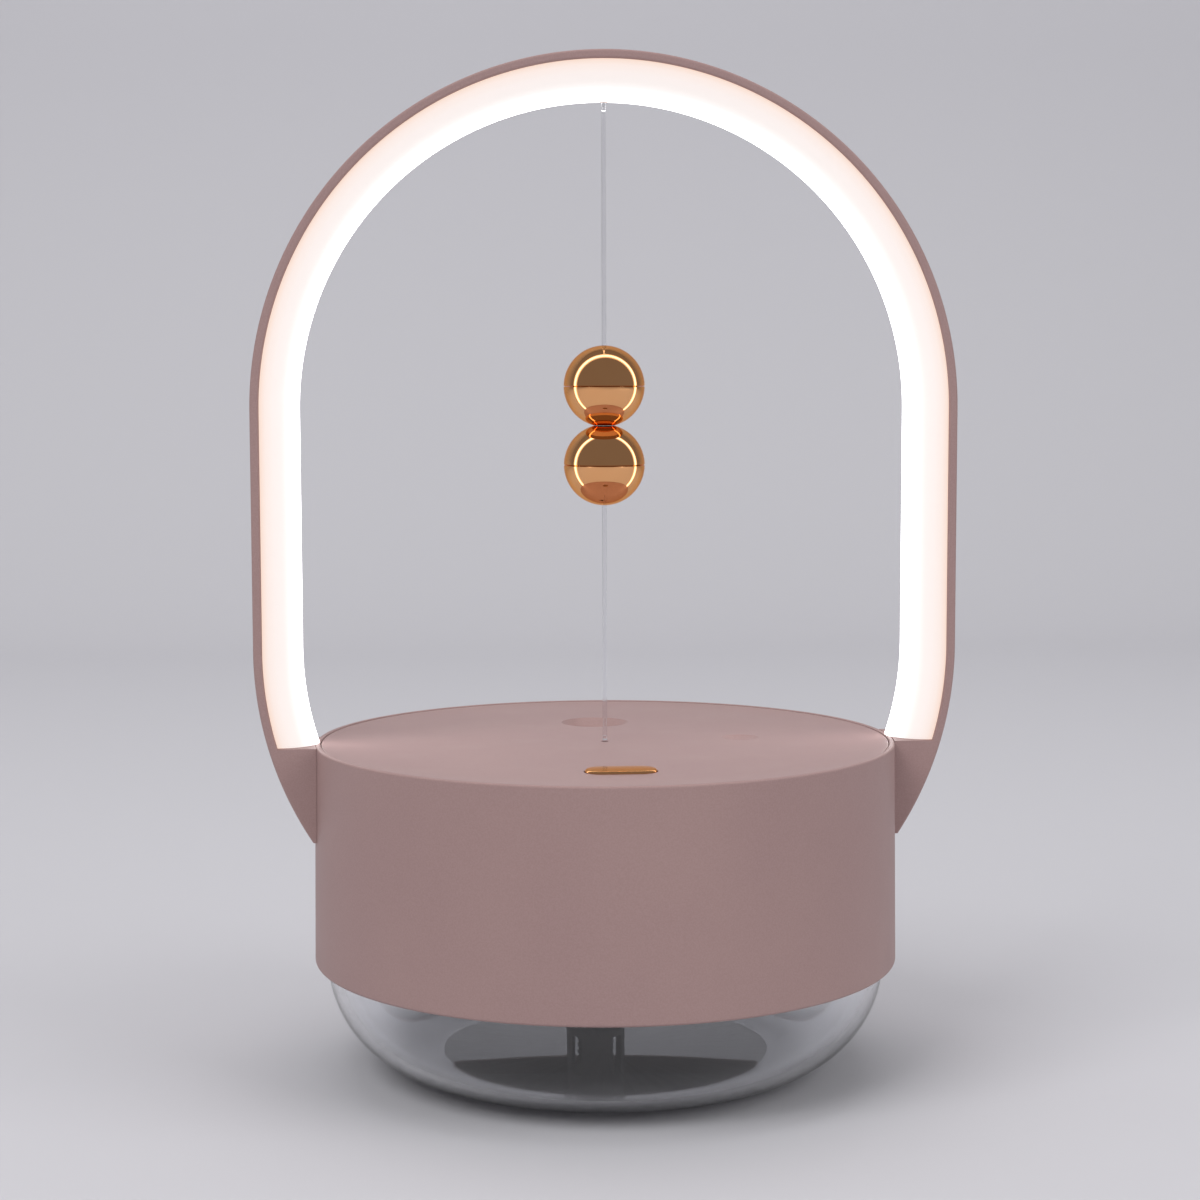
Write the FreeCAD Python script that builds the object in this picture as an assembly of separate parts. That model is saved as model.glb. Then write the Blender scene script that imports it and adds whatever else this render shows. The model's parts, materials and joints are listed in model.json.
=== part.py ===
"""Magnetic balance lamp on a humidifier base, one STEP file per piece.

Millimetres, +Z up. The origin is the centre of the tank's flat underside.
The light hoop lies in the XZ plane and the push button is on the -Y side.
"""
import FreeCAD, Part
import math
import os

Vec = FreeCAD.Vector
Z_AXIS = Vec(0, 0, 1)
Y_AXIS = Vec(0, 1, 0)
X_AXIS = Vec(1, 0, 0)

# Clearances
touch_gap = 0.05          # between fixed pieces that fit inside one another
fit_gap = 0.15            # between a moulding and the one it drops into
run_gap = 0.3             # between pieces that move apart
thread_gap = 0.03         # between a screw's shank and its pilot hole
seal_gap = 0.15           # between the tank seal's lip and the tank's wall
over = 1.0                # how far a cutting tool runs past the face that it opens

# Clear water tank, whose neck stands just inside the drum's skirt
tank_corner = 23.5        # outside round between wall and floor
tank_wall = 2.0
tank_floor = 2.2
neck_height = 10.85       # wall above the skirt's lower edge

# Drum
skirt_height = 23.15      # lower edge of the drum above the table
drum_height = 45.35
drum_bottom_radius = 60.5
drum_draft = 0.5          # by which the rim's radius is smaller
drum_wall = 2.2
rim_lip = 1.1             # thickness of the wall's lip round the tray, above the ledge
rim_round = 0.5
skirt_round = 0.6

# Top tray
tray_drop = 0.6           # flat middle below the rim
tray_edge_drop = 0.2      # outer edge below the rim
tray_slope_width = 9.0
tray_thickness = 1.8
tray_screw_angle = 45.0
tray_screw_inset = 4.8    # from the drum's inner wall
tray_boss_height = 5.0
tray_boss_radius = 2.9
tab_radius = 3.8
tab_thickness = 2.0

# Push button, a pill shape
button_length = 14.0
button_width = 7.0
button_inset = 21.0       # centre in from the rim
button_rise = 0.7
button_round = 0.6
button_gap = 0.2
button_flange = 1.0       # wider than the cap all round, and as thick
button_stem_radius = 1.6
button_travel = 0.5

# Finger dimple beside the string
dimple_radius = 4.0
dimple_depth = 0.9
dimple_offset = 28.8
dimple_back = 2.8

# Mist outlet and mist maker
mist_offset = 28.0        # behind the drum's axis
funnel_mouth_radius = 7.3
funnel_throat_radius = 4.2
funnel_cone_depth = 3.1    # sloping part, above a straight throat
funnel_depth = 6.0
funnel_wall = 1.4
piezo_radius = 8.0
piezo_thickness = 0.6
piezo_dome_radius = 12.0
piezo_dome_height = 0.3
seal_radius = 10.0
seal_bore = 5.6
seal_height = 4.4
seat_wall = 1.4
retainer_thickness = 1.8
retainer_bore = 5.2
retainer_screw_offset = 14.6
retainer_boss_radius = 2.5
retainer_ear_width = 4.0

# Wick
wick_radius = 4.3
wick_end_round = 0.8
wick_tube_radius = 6.5
wick_tube_wall = 1.0
wick_tube_lift = 2.4      # tube's end above the tank's floor
wick_tube_chamfer = 1.0
wick_flange_thickness = 1.5
wick_slot_rise = 2.5      # above the tube's lower end
wick_slot_width = 3.0
wick_slot_height = 11.0
wick_collar_height = 8.0
wick_collar_wall = 1.6
wick_spring_height = 8.0
wick_spring_wire = 0.4
wick_spring_inset = 0.6
wick_spring_turns = 4

# Under cover
cover_thickness = 2.2
plug_depth = 6.0
plug_wall = 2.0
plug_gap = 0.4            # between the plug and the tank's wall
seal_groove_height = 2.0
seal_groove_depth = 1.2
seal_lip_height = 0.6
cover_screw_angle = 25.0
cover_screw_inset = 4.1   # from the plug's inner wall
cover_boss_radius = 3.2
cover_boss_height = 13.5
web_thickness = 2.0
rib_angles = (0, 180, 215, 325)
rib_height = 3.0
rib_thickness = 1.4
rib_end_gap = 10.0        # between a rib's end and the plug's inner wall

# Boards
board_height = 9.6        # above the under cover
board_thickness = 1.6
board_half_width = 28.0
board_margin = 4.2        # between the front corners and the drum's inner wall
board_mist_gap = 18.0     # between the rear edge and the mist maker's axis
board_inset = 4.0         # screw centres from the edges
board_corner = 2.0
post_radius = 2.8
inductor_radius = 5.0
inductor_height = 6.0
capacitor_radius = 3.2
capacitor_height = 8.0
capacitor_pitch = 9.0
chip_side = 7.0
chip_thickness = 1.6
socket_length = 11.0
socket_width = 5.0
socket_height = 6.0
tact_side = 6.0
tact_height = 3.5
tact_corner = 0.5
tact_floor = 1.0
tact_plunger_radius = 1.7
tact_rise = 1.0           # switch's own plunger above its body
inlet_board_height = 5.6
inlet_board_width = 22.0
inlet_board_depth = 12.0
inlet_width = 9.0
inlet_height = 3.3
inlet_depth = 7.3
inlet_recess = 0.6        # socket's face below the drum's surface
inlet_gap = 0.35
inlet_wall = 0.35
inlet_back = 1.0
tongue_width = 6.6
tongue_thickness = 0.7
tongue_recess = 1.0

# Self-tapping screws: radii, heights, and how far each kind bites
screw_shank = 1.1
screw_head = 2.1
screw_crown = 1.6
screw_head_height = 1.5
screw_clear = 0.2
screw_recess = 1.0
screw_recess_tip = 0.45
screw_recess_depth = 0.9
pilot_spare = 1.0         # pilot hole's depth beyond the screw's end
blind_floor = 2.0         # solid left at the end of a blind pilot hole
cover_screw_bite = 8.0
board_screw_bite = 5.0
inlet_screw_bite = 4.0
retainer_screw_bite = 5.0

# Light hoop
hoop_reach = 12.0         # outside of the hoop from the drum's rim
hoop_low_centre = 19.7    # centre of the lower arcs above the rim
hoop_high_centre = 68.4   # centre of the upper arc above the rim
hoop_depth = 17.0
hoop_wall = 1.8
hoop_edge_round = 0.5
diffuser_reach = 7.9      # from the hoop's wall to the diffuser's apex
diffuser_wall = 1.4
diffuser_inset = 0.3      # diffuser's edges behind the hoop's faces
foot_drop = 19.5          # foot's blunt tip below the rim
foot_ledge = 0.1          # foot's ledge below the rim
foot_screw_drop = 8.5
foot_screw_spread = 5.0
foot_skin = 1.2           # left outside the foot's screw holes and passage
lead_hole = 3.0           # square passage for the light's leads

# Light sources
strip_width = 8.0
strip_thickness = 0.3
strip_end_gap = 1.0       # between the strips and the pull switch's case
led_length = 3.5
led_width = 2.8
led_height = 0.8
led_pitch = 8.0

# Pull switch in the crown
case_length = 14.0
case_width = 8.0
case_floor = 1.2
cavity_radius = 2.6
flange_radius = 2.2
flange_height = 0.7
plunger_radius = 0.9
switch_travel = 1.2
contact_thickness = 0.2
contact_width = 1.4
contact_reach = 1.75      # blade's end from the plunger's axis
contact_rise = 1.3        # blades' top above the cavity's floor
contact_tail = 0.6        # blade's length outside the case
switch_spring_wire = 0.25
switch_spring_turns = 2
bush_flange = 1.0
bush_thickness = 0.5

# Strings and balls
string_radius = 0.45
string_hole_gap = 0.35
knot_radius = 0.5
pivot_drop = 1.4          # upper string's bend below the crown
pivot_rise = 0.6          # lower string's bend above the tray
ball_radius = 8.35
ball_wall = 1.2
ball_flat_radius = 2.2    # small flat on each ball where the two meet
ball_gap = 0.06           # between those flats
ball_contact = 65.05      # middle of that gap above the rim
seam_gap = 0.06
seam_chamfer = 0.12
magnet_radius = 4.0
magnet_height = 5.0
crimp_radius = 1.1

# Derived heights, radii and places
drum_top_radius = drum_bottom_radius - drum_draft
tank_radius = drum_bottom_radius - drum_wall - run_gap
plug_outer = tank_radius - tank_wall - plug_gap
plug_inner = plug_outer - plug_wall
tray_screw_radius = drum_top_radius - drum_wall - tray_screw_inset
cover_screw_radius = plug_inner - cover_screw_inset
button_offset = drum_top_radius - button_inset
board_back = mist_offset - board_mist_gap
hoop_radius = drum_top_radius + hoop_reach
neck_z = skirt_height + neck_height
cover_z = neck_z + run_gap
cover_top = cover_z + cover_thickness
rim_z = skirt_height + drum_height
tray_z = rim_z - tray_drop
tray_under = tray_z - tray_thickness
tray_radius = drum_top_radius - rim_lip - fit_gap
board_z = cover_top + board_height
inlet_board_z = cover_top + inlet_board_height
low_centre_z = rim_z + hoop_low_centre
high_centre_z = rim_z + hoop_high_centre
hoop_bore = hoop_radius - hoop_wall
apex_radius = hoop_bore - diffuser_reach
ledge_z = rim_z - foot_ledge
diffuser_end_z = rim_z + touch_gap
crown_z = high_centre_z + apex_radius
crown_inner_z = crown_z + diffuser_wall
upper_pivot_z = crown_z - pivot_drop
lower_pivot_z = tray_z + pivot_rise
ball_flat = math.sqrt(ball_radius ** 2 - ball_flat_radius ** 2)
upper_ball_z = rim_z + ball_contact + ball_gap / 2 + ball_flat
lower_ball_z = rim_z + ball_contact - ball_gap / 2 - ball_flat
string_hole = string_radius + string_hole_gap
screw_hole = screw_shank + screw_clear
pilot_radius = screw_shank + thread_gap
hoop_screw_z = rim_z - foot_screw_drop
funnel_end = tray_z - funnel_depth
seal_bottom = funnel_end - touch_gap - seal_height
retainer_z = seal_bottom - touch_gap - retainer_thickness
piezo_z = seal_bottom + seal_height / 2 - piezo_thickness / 2
wick_tube_bottom = tank_floor + wick_tube_lift
wick_bottom = wick_tube_bottom + wick_tube_wall + wick_spring_height + touch_gap


def drum_outside(z):
    """Radius of the drum's outer face at a height."""
    share = (z - skirt_height) / drum_height
    return drum_bottom_radius + (drum_top_radius - drum_bottom_radius) * share


def drum_inside(z):
    return drum_outside(z) - drum_wall


def cyl(radius, low, high, x=0.0, y=0.0):
    """Upright cylinder between two heights."""
    return Part.makeCylinder(radius, high - low, Vec(x, y, low), Z_AXIS)


def box(x0, x1, y0, y1, z0, z1):
    return Part.makeBox(x1 - x0, y1 - y0, z1 - z0, Vec(x0, y0, z0))


def upright_edges(solid):
    return [e for e in solid.Edges if abs(e.tangentAt(e.FirstParameter).z) > 0.99]


def spin(points, x=0.0, y=0.0):
    """Solid of revolution about an upright axis from (radius, height) points."""
    wire = Part.makePolygon([Vec(x + r, y, z) for r, z in points] + [Vec(x + points[0][0], y, points[0][1])])
    return Part.Face(wire).revolve(Vec(x, y, 0), Z_AXIS, 360)


def spin_edges(edges):
    """Solid of revolution about the drum's axis from edges in the XZ plane."""
    return Part.Face(Part.Wire(edges)).revolve(Vec(0, 0, 0), Z_AXIS, 360)


def line(a, b):
    return Part.LineSegment(Vec(a[0], 0, a[1]), Vec(b[0], 0, b[1])).toShape()


def arc(centre, radius, start_deg, end_deg):
    """Circular arc in the XZ plane, angles from +X towards +Z."""
    points = []
    for angle in (start_deg, (start_deg + end_deg) / 2, end_deg):
        turn = math.radians(angle)
        points.append(Vec(centre[0] + radius * math.cos(turn), 0, centre[1] + radius * math.sin(turn)))
    return Part.Arc(*points).toShape()


def ring_places(radius, angle):
    """Four places, one per quarter, at an angle from the X axis."""
    turn = math.radians(angle)
    x = radius * math.cos(turn)
    y = radius * math.sin(turn)
    return [(x, y), (-x, y), (-x, -y), (x, -y)]


def pill(length, width, low, high, y=0.0):
    """Upright solid with a rounded-end outline, long in X."""
    half = (length - width) / 2
    body = box(-half, half, y - width / 2, y + width / 2, low, high)
    body = body.fuse(cyl(width / 2, low, high, -half, y))
    body = body.fuse(cyl(width / 2, low, high, half, y))
    return body.removeSplitter()


def screw(seat, direction, length):
    """Pan-head screw: the head's underside sits on seat and the shank runs along direction."""
    shank = Part.makeCylinder(screw_shank, length, seat, direction)
    head_top = seat - direction * screw_head_height
    head = Part.makeCone(screw_crown, screw_head, screw_head_height, head_top, direction)
    recess = Part.makeCone(screw_recess, screw_recess_tip, screw_recess_depth, head_top, direction)
    return shank.fuse(head).cut(recess).removeSplitter()


def coil(radius, wire, low, high, turns, x=0.0, y=0.0):
    """Round-wire spring whose wire stays between two heights."""
    rise = high - low - 2 * wire
    helix = Part.makeHelix(rise / turns, rise, radius)
    section = Part.Wire(Part.makeCircle(wire, Vec(radius, 0, 0), Y_AXIS))
    spring = Part.Wire(helix).makePipeShell([section], True, True)
    spring.translate(Vec(x, y, low + wire))
    return spring


def ball_half(centre_z, upward, hole):
    """Half of a hollow ball, open at the seam; its pole has the string's hole, or else a small flat."""
    inner = ball_radius - ball_wall
    seam = seam_gap / 2
    rim = ball_radius - seam_chamfer
    outer_foot = math.sqrt(ball_radius ** 2 - (seam + seam_chamfer) ** 2)
    shell = Part.makeSphere(ball_radius).cut(Part.makeSphere(inner))
    beyond = ball_radius + over
    shell = shell.common(cyl(beyond, seam, beyond))
    trim = spin([(rim, seam - over), (beyond, seam - over), (beyond, seam + seam_chamfer),
                 (outer_foot, seam + seam_chamfer), (rim, seam)])
    shell = shell.cut(trim)
    if hole:
        shell = shell.cut(cyl(string_radius + touch_gap, 0, beyond))
    else:
        shell = shell.cut(cyl(ball_radius, ball_flat, beyond))
    if not upward:
        shell.rotate(Vec(0, 0, 0), X_AXIS, 180)
    shell.translate(Vec(0, 0, centre_z))
    return shell


def ball_magnet(centre_z, side):
    """Disc magnet inside the ball, bedded against the shell on the side that meets the other ball."""
    inner = ball_radius - ball_wall
    depth = math.sqrt(inner ** 2 - magnet_radius ** 2) - touch_gap
    if side > 0:
        return cyl(magnet_radius, centre_z + depth - magnet_height, centre_z + depth)
    return cyl(magnet_radius, centre_z - depth, centre_z - depth + magnet_height)


def ball_crimp(centre_z, side):
    """Bead clamped on the string's end inside the pole."""
    inner = ball_radius - ball_wall
    middle = centre_z + side * (inner - crimp_radius - touch_gap)
    bead = Part.makeSphere(crimp_radius, Vec(0, 0, middle))
    return bead.cut(cyl(string_radius + touch_gap / 2, middle - crimp_radius, middle + crimp_radius))


def crimp_far(centre_z, side):
    """Height of the crimp's side nearest the ball's centre, where the string ends."""
    inner = ball_radius - ball_wall
    return centre_z + side * (inner - 2 * crimp_radius - touch_gap)


# Tank

def make_tank_bowl():
    """Clear bowl: straight wall, quarter-round corner, flat floor."""
    flat = tank_radius - tank_corner
    inner = tank_radius - tank_wall
    inner_corner = tank_corner - tank_wall
    low = tank_floor
    lip = tank_wall / 2
    edges = [
        line((0, 0), (flat, 0)),
        arc((flat, tank_corner), tank_corner, -90, 0),
        line((tank_radius, tank_corner), (tank_radius, neck_z - lip)),
        arc((tank_radius - lip, neck_z - lip), lip, 0, 180),
        line((inner, neck_z - lip), (inner, low + inner_corner)),
        arc((inner - inner_corner, low + inner_corner), inner_corner, 0, -90),
        line((inner - inner_corner, low), (0, low)),
        line((0, low), (0, 0)),
    ]
    return spin_edges(edges)


# Drum and its covers

def make_body_shell():
    """Drafted wall with a thin lip over a ledge, tabs, cover bosses on webs, and its side openings."""
    ro = drum_bottom_radius
    ri = drum_bottom_radius - drum_wall
    to = drum_top_radius
    lip = drum_top_radius - rim_lip
    ledge = tray_under - touch_gap
    edges = [
        line((ri, skirt_height), (ro - skirt_round, skirt_height)),
        arc((ro - skirt_round, skirt_height + skirt_round), skirt_round, -90, 0),
        line((ro, skirt_height + skirt_round), (to, rim_z - rim_round)),
        arc((to - rim_round, rim_z - rim_round), rim_round, 0, 90),
        line((to - rim_round, rim_z), (lip, rim_z)),
        line((lip, rim_z), (lip, ledge)),
        line((lip, ledge), (drum_inside(ledge), ledge)),
        line((drum_inside(ledge), ledge), (ri, skirt_height)),
    ]
    shell = spin_edges(edges)
    tab_top = tray_under - tray_boss_height
    for x, y in ring_places(tray_screw_radius, tray_screw_angle):
        shell = shell.fuse(wall_tab(x, y, tab_top - tab_thickness, tab_top, tab_radius, tab_radius * 2))
    for x, y in ring_places(cover_screw_radius, cover_screw_angle):
        boss_top = cover_top + cover_boss_height
        shell = shell.fuse(wall_tab(x, y, cover_top, boss_top, cover_boss_radius, web_thickness))
    for x, y in ring_places(tray_screw_radius, tray_screw_angle):
        shell = shell.cut(cyl(screw_hole, tab_top - tab_thickness - over, tab_top + over, x, y))
    for x, y in ring_places(cover_screw_radius, cover_screw_angle):
        pilot_top = cover_top + cover_boss_height - blind_floor
        shell = shell.cut(cyl(pilot_radius, cover_top - over, pilot_top, x, y))
    start_x = drum_top_radius - 2 * drum_wall
    for side in (-1, 1):
        for y in (-foot_screw_spread, foot_screw_spread):
            start = Vec(side * start_x, y, hoop_screw_z)
            shell = shell.cut(Part.makeCylinder(screw_hole, 4 * drum_wall, start, X_AXIS * side))
        shell = shell.cut(lead_passage(side, start_x, start_x + 4 * drum_wall, hoop_screw_z + lead_hole / 2))
    return shell.cut(inlet_slot()).removeSplitter()


def lead_passage(side, near_x, far_x, top):
    """Square passage through the drum wall and the hoop's foot, from its floor up to a height."""
    x0, x1 = sorted((side * near_x, side * far_x))
    return box(x0, x1, -lead_hole / 2, lead_hole / 2, hoop_screw_z - lead_hole / 2, top)


def wall_tab(x, y, low, high, radius, width):
    """Round boss or tab at (x, y), tied to the drum wall by a plate of the given width."""
    reach = math.hypot(x, y)
    tab = cyl(radius, low, high, reach, 0)
    plate = box(reach, drum_bottom_radius, -width / 2, width / 2, low, high)
    inside = Part.makeCone(drum_inside(low) + drum_wall / 2, drum_inside(high) + drum_wall / 2,
                           high - low, Vec(0, 0, low), Z_AXIS)
    tab = tab.fuse(plate).common(inside)
    tab.rotate(Vec(0, 0, 0), Z_AXIS, math.degrees(math.atan2(y, x)))
    return tab


def inlet_face_y():
    return drum_outside(inlet_board_z) - inlet_recess


def inlet_middle_z():
    return inlet_board_z + board_thickness + inlet_height / 2


def inlet_slot():
    """Rounded slot through the drum wall round the power inlet."""
    height = inlet_height + 2 * inlet_gap
    slot = pill(inlet_width + 2 * inlet_gap, height, 0, 4 * drum_wall)
    slot.rotate(Vec(0, 0, 0), X_AXIS, -90)
    slot.translate(Vec(0, inlet_face_y() - 3 * drum_wall, inlet_middle_z()))
    return slot


def funnel_body(wall):
    """Solid mist funnel, straight below and flared above, as wide as its bore plus a wall."""
    throat = funnel_throat_radius + wall
    mouth = funnel_mouth_radius + wall
    return spin([(0, funnel_end), (throat, funnel_end), (throat, tray_z - funnel_cone_depth),
                 (mouth, tray_z), (0, tray_z)], 0, mist_offset)


def make_top_tray():
    """Dished lid: edge that sweeps up to the rim, mist funnel and seal seat, dimple, slot, bosses."""
    flat = tray_radius - tray_slope_width
    edge_z = rim_z - tray_edge_drop
    rise = edge_z - tray_z
    sweep = (tray_slope_width ** 2 + rise ** 2) / (2 * rise)
    steepest = math.degrees(math.asin(tray_slope_width / sweep))
    tray = spin_edges([
        line((0, tray_under), (tray_radius, tray_under)),
        line((tray_radius, tray_under), (tray_radius, edge_z)),
        arc((flat, tray_z + sweep), sweep, steepest - 90, -90),
        line((flat, tray_z), (0, tray_z)),
        line((0, tray_z), (0, tray_under)),
    ])
    seat_radius = seal_radius + touch_gap
    seat_top = funnel_end + funnel_wall
    tray = tray.fuse(cyl(seat_radius + seat_wall, seal_bottom - touch_gap, seat_top, 0, mist_offset))
    tray = tray.fuse(funnel_body(funnel_wall).common(cyl(tray_radius, funnel_end, tray_under + touch_gap)))
    for side in (-1, 1):
        boss_x = side * retainer_screw_offset
        tray = tray.fuse(cyl(retainer_boss_radius, seal_bottom - touch_gap, tray_under, boss_x, mist_offset))
    for x, y in ring_places(tray_screw_radius, tray_screw_angle):
        tray = tray.fuse(cyl(tray_boss_radius, tray_under - tray_boss_height, tray_under, x, y))
    tray = tray.cut(cyl(seat_radius, seal_bottom - over, funnel_end, 0, mist_offset))
    tray = tray.cut(funnel_body(0))
    for side in (-1, 1):
        boss_x = side * retainer_screw_offset
        tray = tray.cut(cyl(pilot_radius, seal_bottom - over, tray_under - blind_floor, boss_x, mist_offset))
    for x, y in ring_places(tray_screw_radius, tray_screw_angle):
        tray = tray.cut(cyl(pilot_radius, tray_under - tray_boss_height - over, tray_under, x, y))
    bowl_radius = (dimple_radius ** 2 + dimple_depth ** 2) / (2 * dimple_depth)
    dimple_centre = Vec(dimple_offset, dimple_back, tray_z - dimple_depth + bowl_radius)
    tray = tray.cut(Part.makeSphere(bowl_radius, dimple_centre))
    slot = pill(button_length + 2 * button_gap, button_width + 2 * button_gap,
                tray_under - over, tray_z + over, -button_offset)
    tray = tray.cut(slot)
    tray = tray.cut(cyl(string_hole, tray_under - over, tray_z + over))
    return tray.removeSplitter()


def make_under_cover():
    """Plate under the drum with the tank plug, seal groove, wick collar, board posts and ribs."""
    groove_top = cover_z - plug_wall
    groove_low = groove_top - seal_groove_height
    edge = drum_inside(cover_z) - fit_gap
    cover = spin([
        (0, cover_z), (plug_inner, cover_z), (plug_inner, cover_z - plug_depth),
        (plug_outer, cover_z - plug_depth), (plug_outer, groove_low),
        (plug_outer - seal_groove_depth, groove_low), (plug_outer - seal_groove_depth, groove_top),
        (plug_outer, groove_top), (plug_outer, cover_z), (edge, cover_z), (edge, cover_top), (0, cover_top),
    ])
    collar = wick_tube_radius + touch_gap + wick_collar_wall
    cover = cover.fuse(cyl(collar, cover_top, cover_top + wick_collar_height, 0, mist_offset))
    rib_end = plug_inner - rib_end_gap
    for angle in rib_angles:
        rib = box(0, rib_end, -rib_thickness / 2, rib_thickness / 2, cover_top, cover_top + rib_height)
        rib.rotate(Vec(0, 0, 0), Z_AXIS, angle)
        cover = cover.fuse(rib)
    for x, y in board_posts():
        cover = cover.fuse(cyl(post_radius, cover_top, board_z, x, y))
    for x, y in inlet_posts():
        cover = cover.fuse(cyl(post_radius, cover_top, inlet_board_z, x, y))
    cover = cover.cut(cyl(wick_tube_radius + touch_gap, cover_z - over, board_z, 0, mist_offset))
    for x, y in ring_places(cover_screw_radius, cover_screw_angle):
        cover = cover.cut(cyl(screw_hole, cover_z - over, cover_top + over, x, y))
    for x, y in board_posts():
        cover = cover.cut(cyl(pilot_radius, cover_top, board_z + over, x, y))
    for x, y in inlet_posts():
        cover = cover.cut(cyl(pilot_radius, cover_top, inlet_board_z + over, x, y))
    return cover.removeSplitter()


def board_front():
    """Front edge of the main board, whose corners stay clear of the drum's round wall."""
    corner = drum_inside(board_z) - board_margin
    return -math.sqrt(corner ** 2 - board_half_width ** 2)


def board_posts():
    x = board_half_width - board_inset
    front = board_front() + board_inset
    back = board_back - board_inset
    return [(-x, front), (x, front), (-x, back), (x, back)]


def inlet_board_back():
    """Rear edge of the inlet's board, whose corners stay clear of the drum's round wall."""
    inside = drum_inside(inlet_board_z + board_thickness) - fit_gap
    return math.sqrt(inside ** 2 - (inlet_board_width / 2) ** 2)


def inlet_posts():
    x = inlet_board_width / 2 - board_inset
    y = inlet_board_back() - inlet_board_depth / 2
    return [(-x, y), (x, y)]


def make_tank_seal():
    """Silicone ring in the plug's groove with one rounded lip towards the tank."""
    low = cover_z - plug_wall - seal_groove_height + touch_gap
    high = cover_z - plug_wall - touch_gap
    back = plug_outer - seal_groove_depth + touch_gap
    face = tank_radius - tank_wall - seal_gap
    lip_low = (low + high - seal_lip_height) / 2
    lip_high = lip_low + seal_lip_height
    return spin([(back, low), (plug_outer, low), (face, lip_low), (face, lip_high),
                 (plug_outer, high), (back, high)])


def make_cover_screws():
    seats = ring_places(cover_screw_radius, cover_screw_angle)
    return [screw(Vec(x, y, cover_z), Z_AXIS, cover_thickness + cover_screw_bite) for x, y in seats]


def make_tray_screws():
    seat_z = tray_under - tray_boss_height - tab_thickness
    seats = ring_places(tray_screw_radius, tray_screw_angle)
    length = tab_thickness + tray_boss_height - pilot_spare
    return [screw(Vec(x, y, seat_z), Z_AXIS, length) for x, y in seats]


# Light hoop

def hoop_profile_band(inner, outer, half_depth, edge_round):
    """Rectangle with rounded corners in the XY plane at X = radius, for sweeping round the hoop."""
    face = Part.makePlane(outer - inner, 2 * half_depth, Vec(inner, -half_depth, 0), Z_AXIS)
    slab = face.extrude(Vec(0, 0, 1))
    rounded = slab.makeFillet(edge_round, upright_edges(slab))
    low = [f for f in rounded.Faces if f.normalAt(0, 0).z < -0.99]
    return low[0].copy()


def hoop_profile_dome(base, reach, half_depth):
    """Half ellipse in the XY plane, its flat side at X = base and its apex towards the axis."""
    if reach >= half_depth:
        curve = Part.Ellipse(Vec(base - reach, 0, 0), Vec(base, half_depth, 0), Vec(base, 0, 0))
    else:
        curve = Part.Ellipse(Vec(base, half_depth, 0), Vec(base - reach, 0, 0), Vec(base, 0, 0))
    whole = Part.Face(Part.Wire(curve.toShape()))
    keep = Part.makePlane(2 * reach, 4 * half_depth, Vec(base - 2 * reach, -2 * half_depth, 0), Z_AXIS)
    return whole.common(keep).Faces[0]


def sweep_hoop(profile, end_z):
    """Carries a profile along the hoop: lower arc, side, upper arc, side, lower arc, down to end_z."""
    low = Vec(0, 0, low_centre_z)
    high = Vec(0, 0, high_centre_z)
    side = profile.copy()
    side.translate(low)
    right = side.extrude(Vec(0, 0, high_centre_z - low_centre_z))
    top_face = profile.copy()
    top_face.translate(high)
    top = top_face.revolve(high, Y_AXIS, -180)
    quarter = side.revolve(low, Y_AXIS, 90)
    foot = quarter.common(box(0, hoop_radius + over, -hoop_depth, hoop_depth, end_z, low_centre_z))
    half = right.fuse(foot)
    other = half.mirror(Vec(0, 0, 0), X_AXIS)
    return top.fuse([half, other]).removeSplitter()


def foot_outside(z):
    """Distance from the lamp's axis to the foot's curved outer face at a height."""
    return math.sqrt(hoop_radius ** 2 - (low_centre_z - z) ** 2)


def foot_pilot_end():
    return foot_outside(hoop_screw_z) - foot_skin


def make_hoop_frame():
    """Loop wall and two gusset feet, with rounded edges, lead passages and screw holes."""
    half = hoop_depth / 2
    solid = sweep_hoop(hoop_profile_band(hoop_bore, hoop_radius, half, hoop_edge_round), ledge_z)
    disc_profile = hoop_profile_band(-hoop_radius, hoop_radius, half, hoop_edge_round)
    half_disc = disc_profile.common(Part.makePlane(hoop_radius + over, hoop_depth + 2 * over,
                                                   Vec(0, -half - over, 0), Z_AXIS))
    half_disc.translate(Vec(0, 0, low_centre_z))
    disc = half_disc.revolve(Vec(0, 0, low_centre_z), Y_AXIS, 360)
    tip_z = rim_z - foot_drop
    low = tip_z - over
    high = rim_z + over
    drum = Part.makeCone(drum_outside(low) + touch_gap, drum_outside(high) + touch_gap,
                         high - low, Vec(0, 0, low), Z_AXIS)
    for side in (-1, 1):
        x0, x1 = sorted((side * drum_top_radius / 2, side * (hoop_radius + over)))
        foot = disc.common(box(x0, x1, -half, half, tip_z, ledge_z)).cut(drum)
        solid = solid.fuse(foot)
    solid = solid.removeSplitter()
    start_x = drum_top_radius - 2 * drum_wall
    lead_end = foot_outside(hoop_screw_z - lead_hole / 2) - foot_skin
    for side in (-1, 1):
        for y in (-foot_screw_spread, foot_screw_spread):
            start = Vec(side * start_x, y, hoop_screw_z)
            pilot = Part.makeCylinder(pilot_radius, foot_pilot_end() - start_x, start, X_AXIS * side)
            solid = solid.cut(pilot)
        solid = solid.cut(lead_passage(side, start_x, lead_end, hoop_screw_z + lead_hole / 2))
        solid = solid.cut(lead_passage(side, lead_end - lead_hole, lead_end, ledge_z + over))
    return solid


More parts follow.
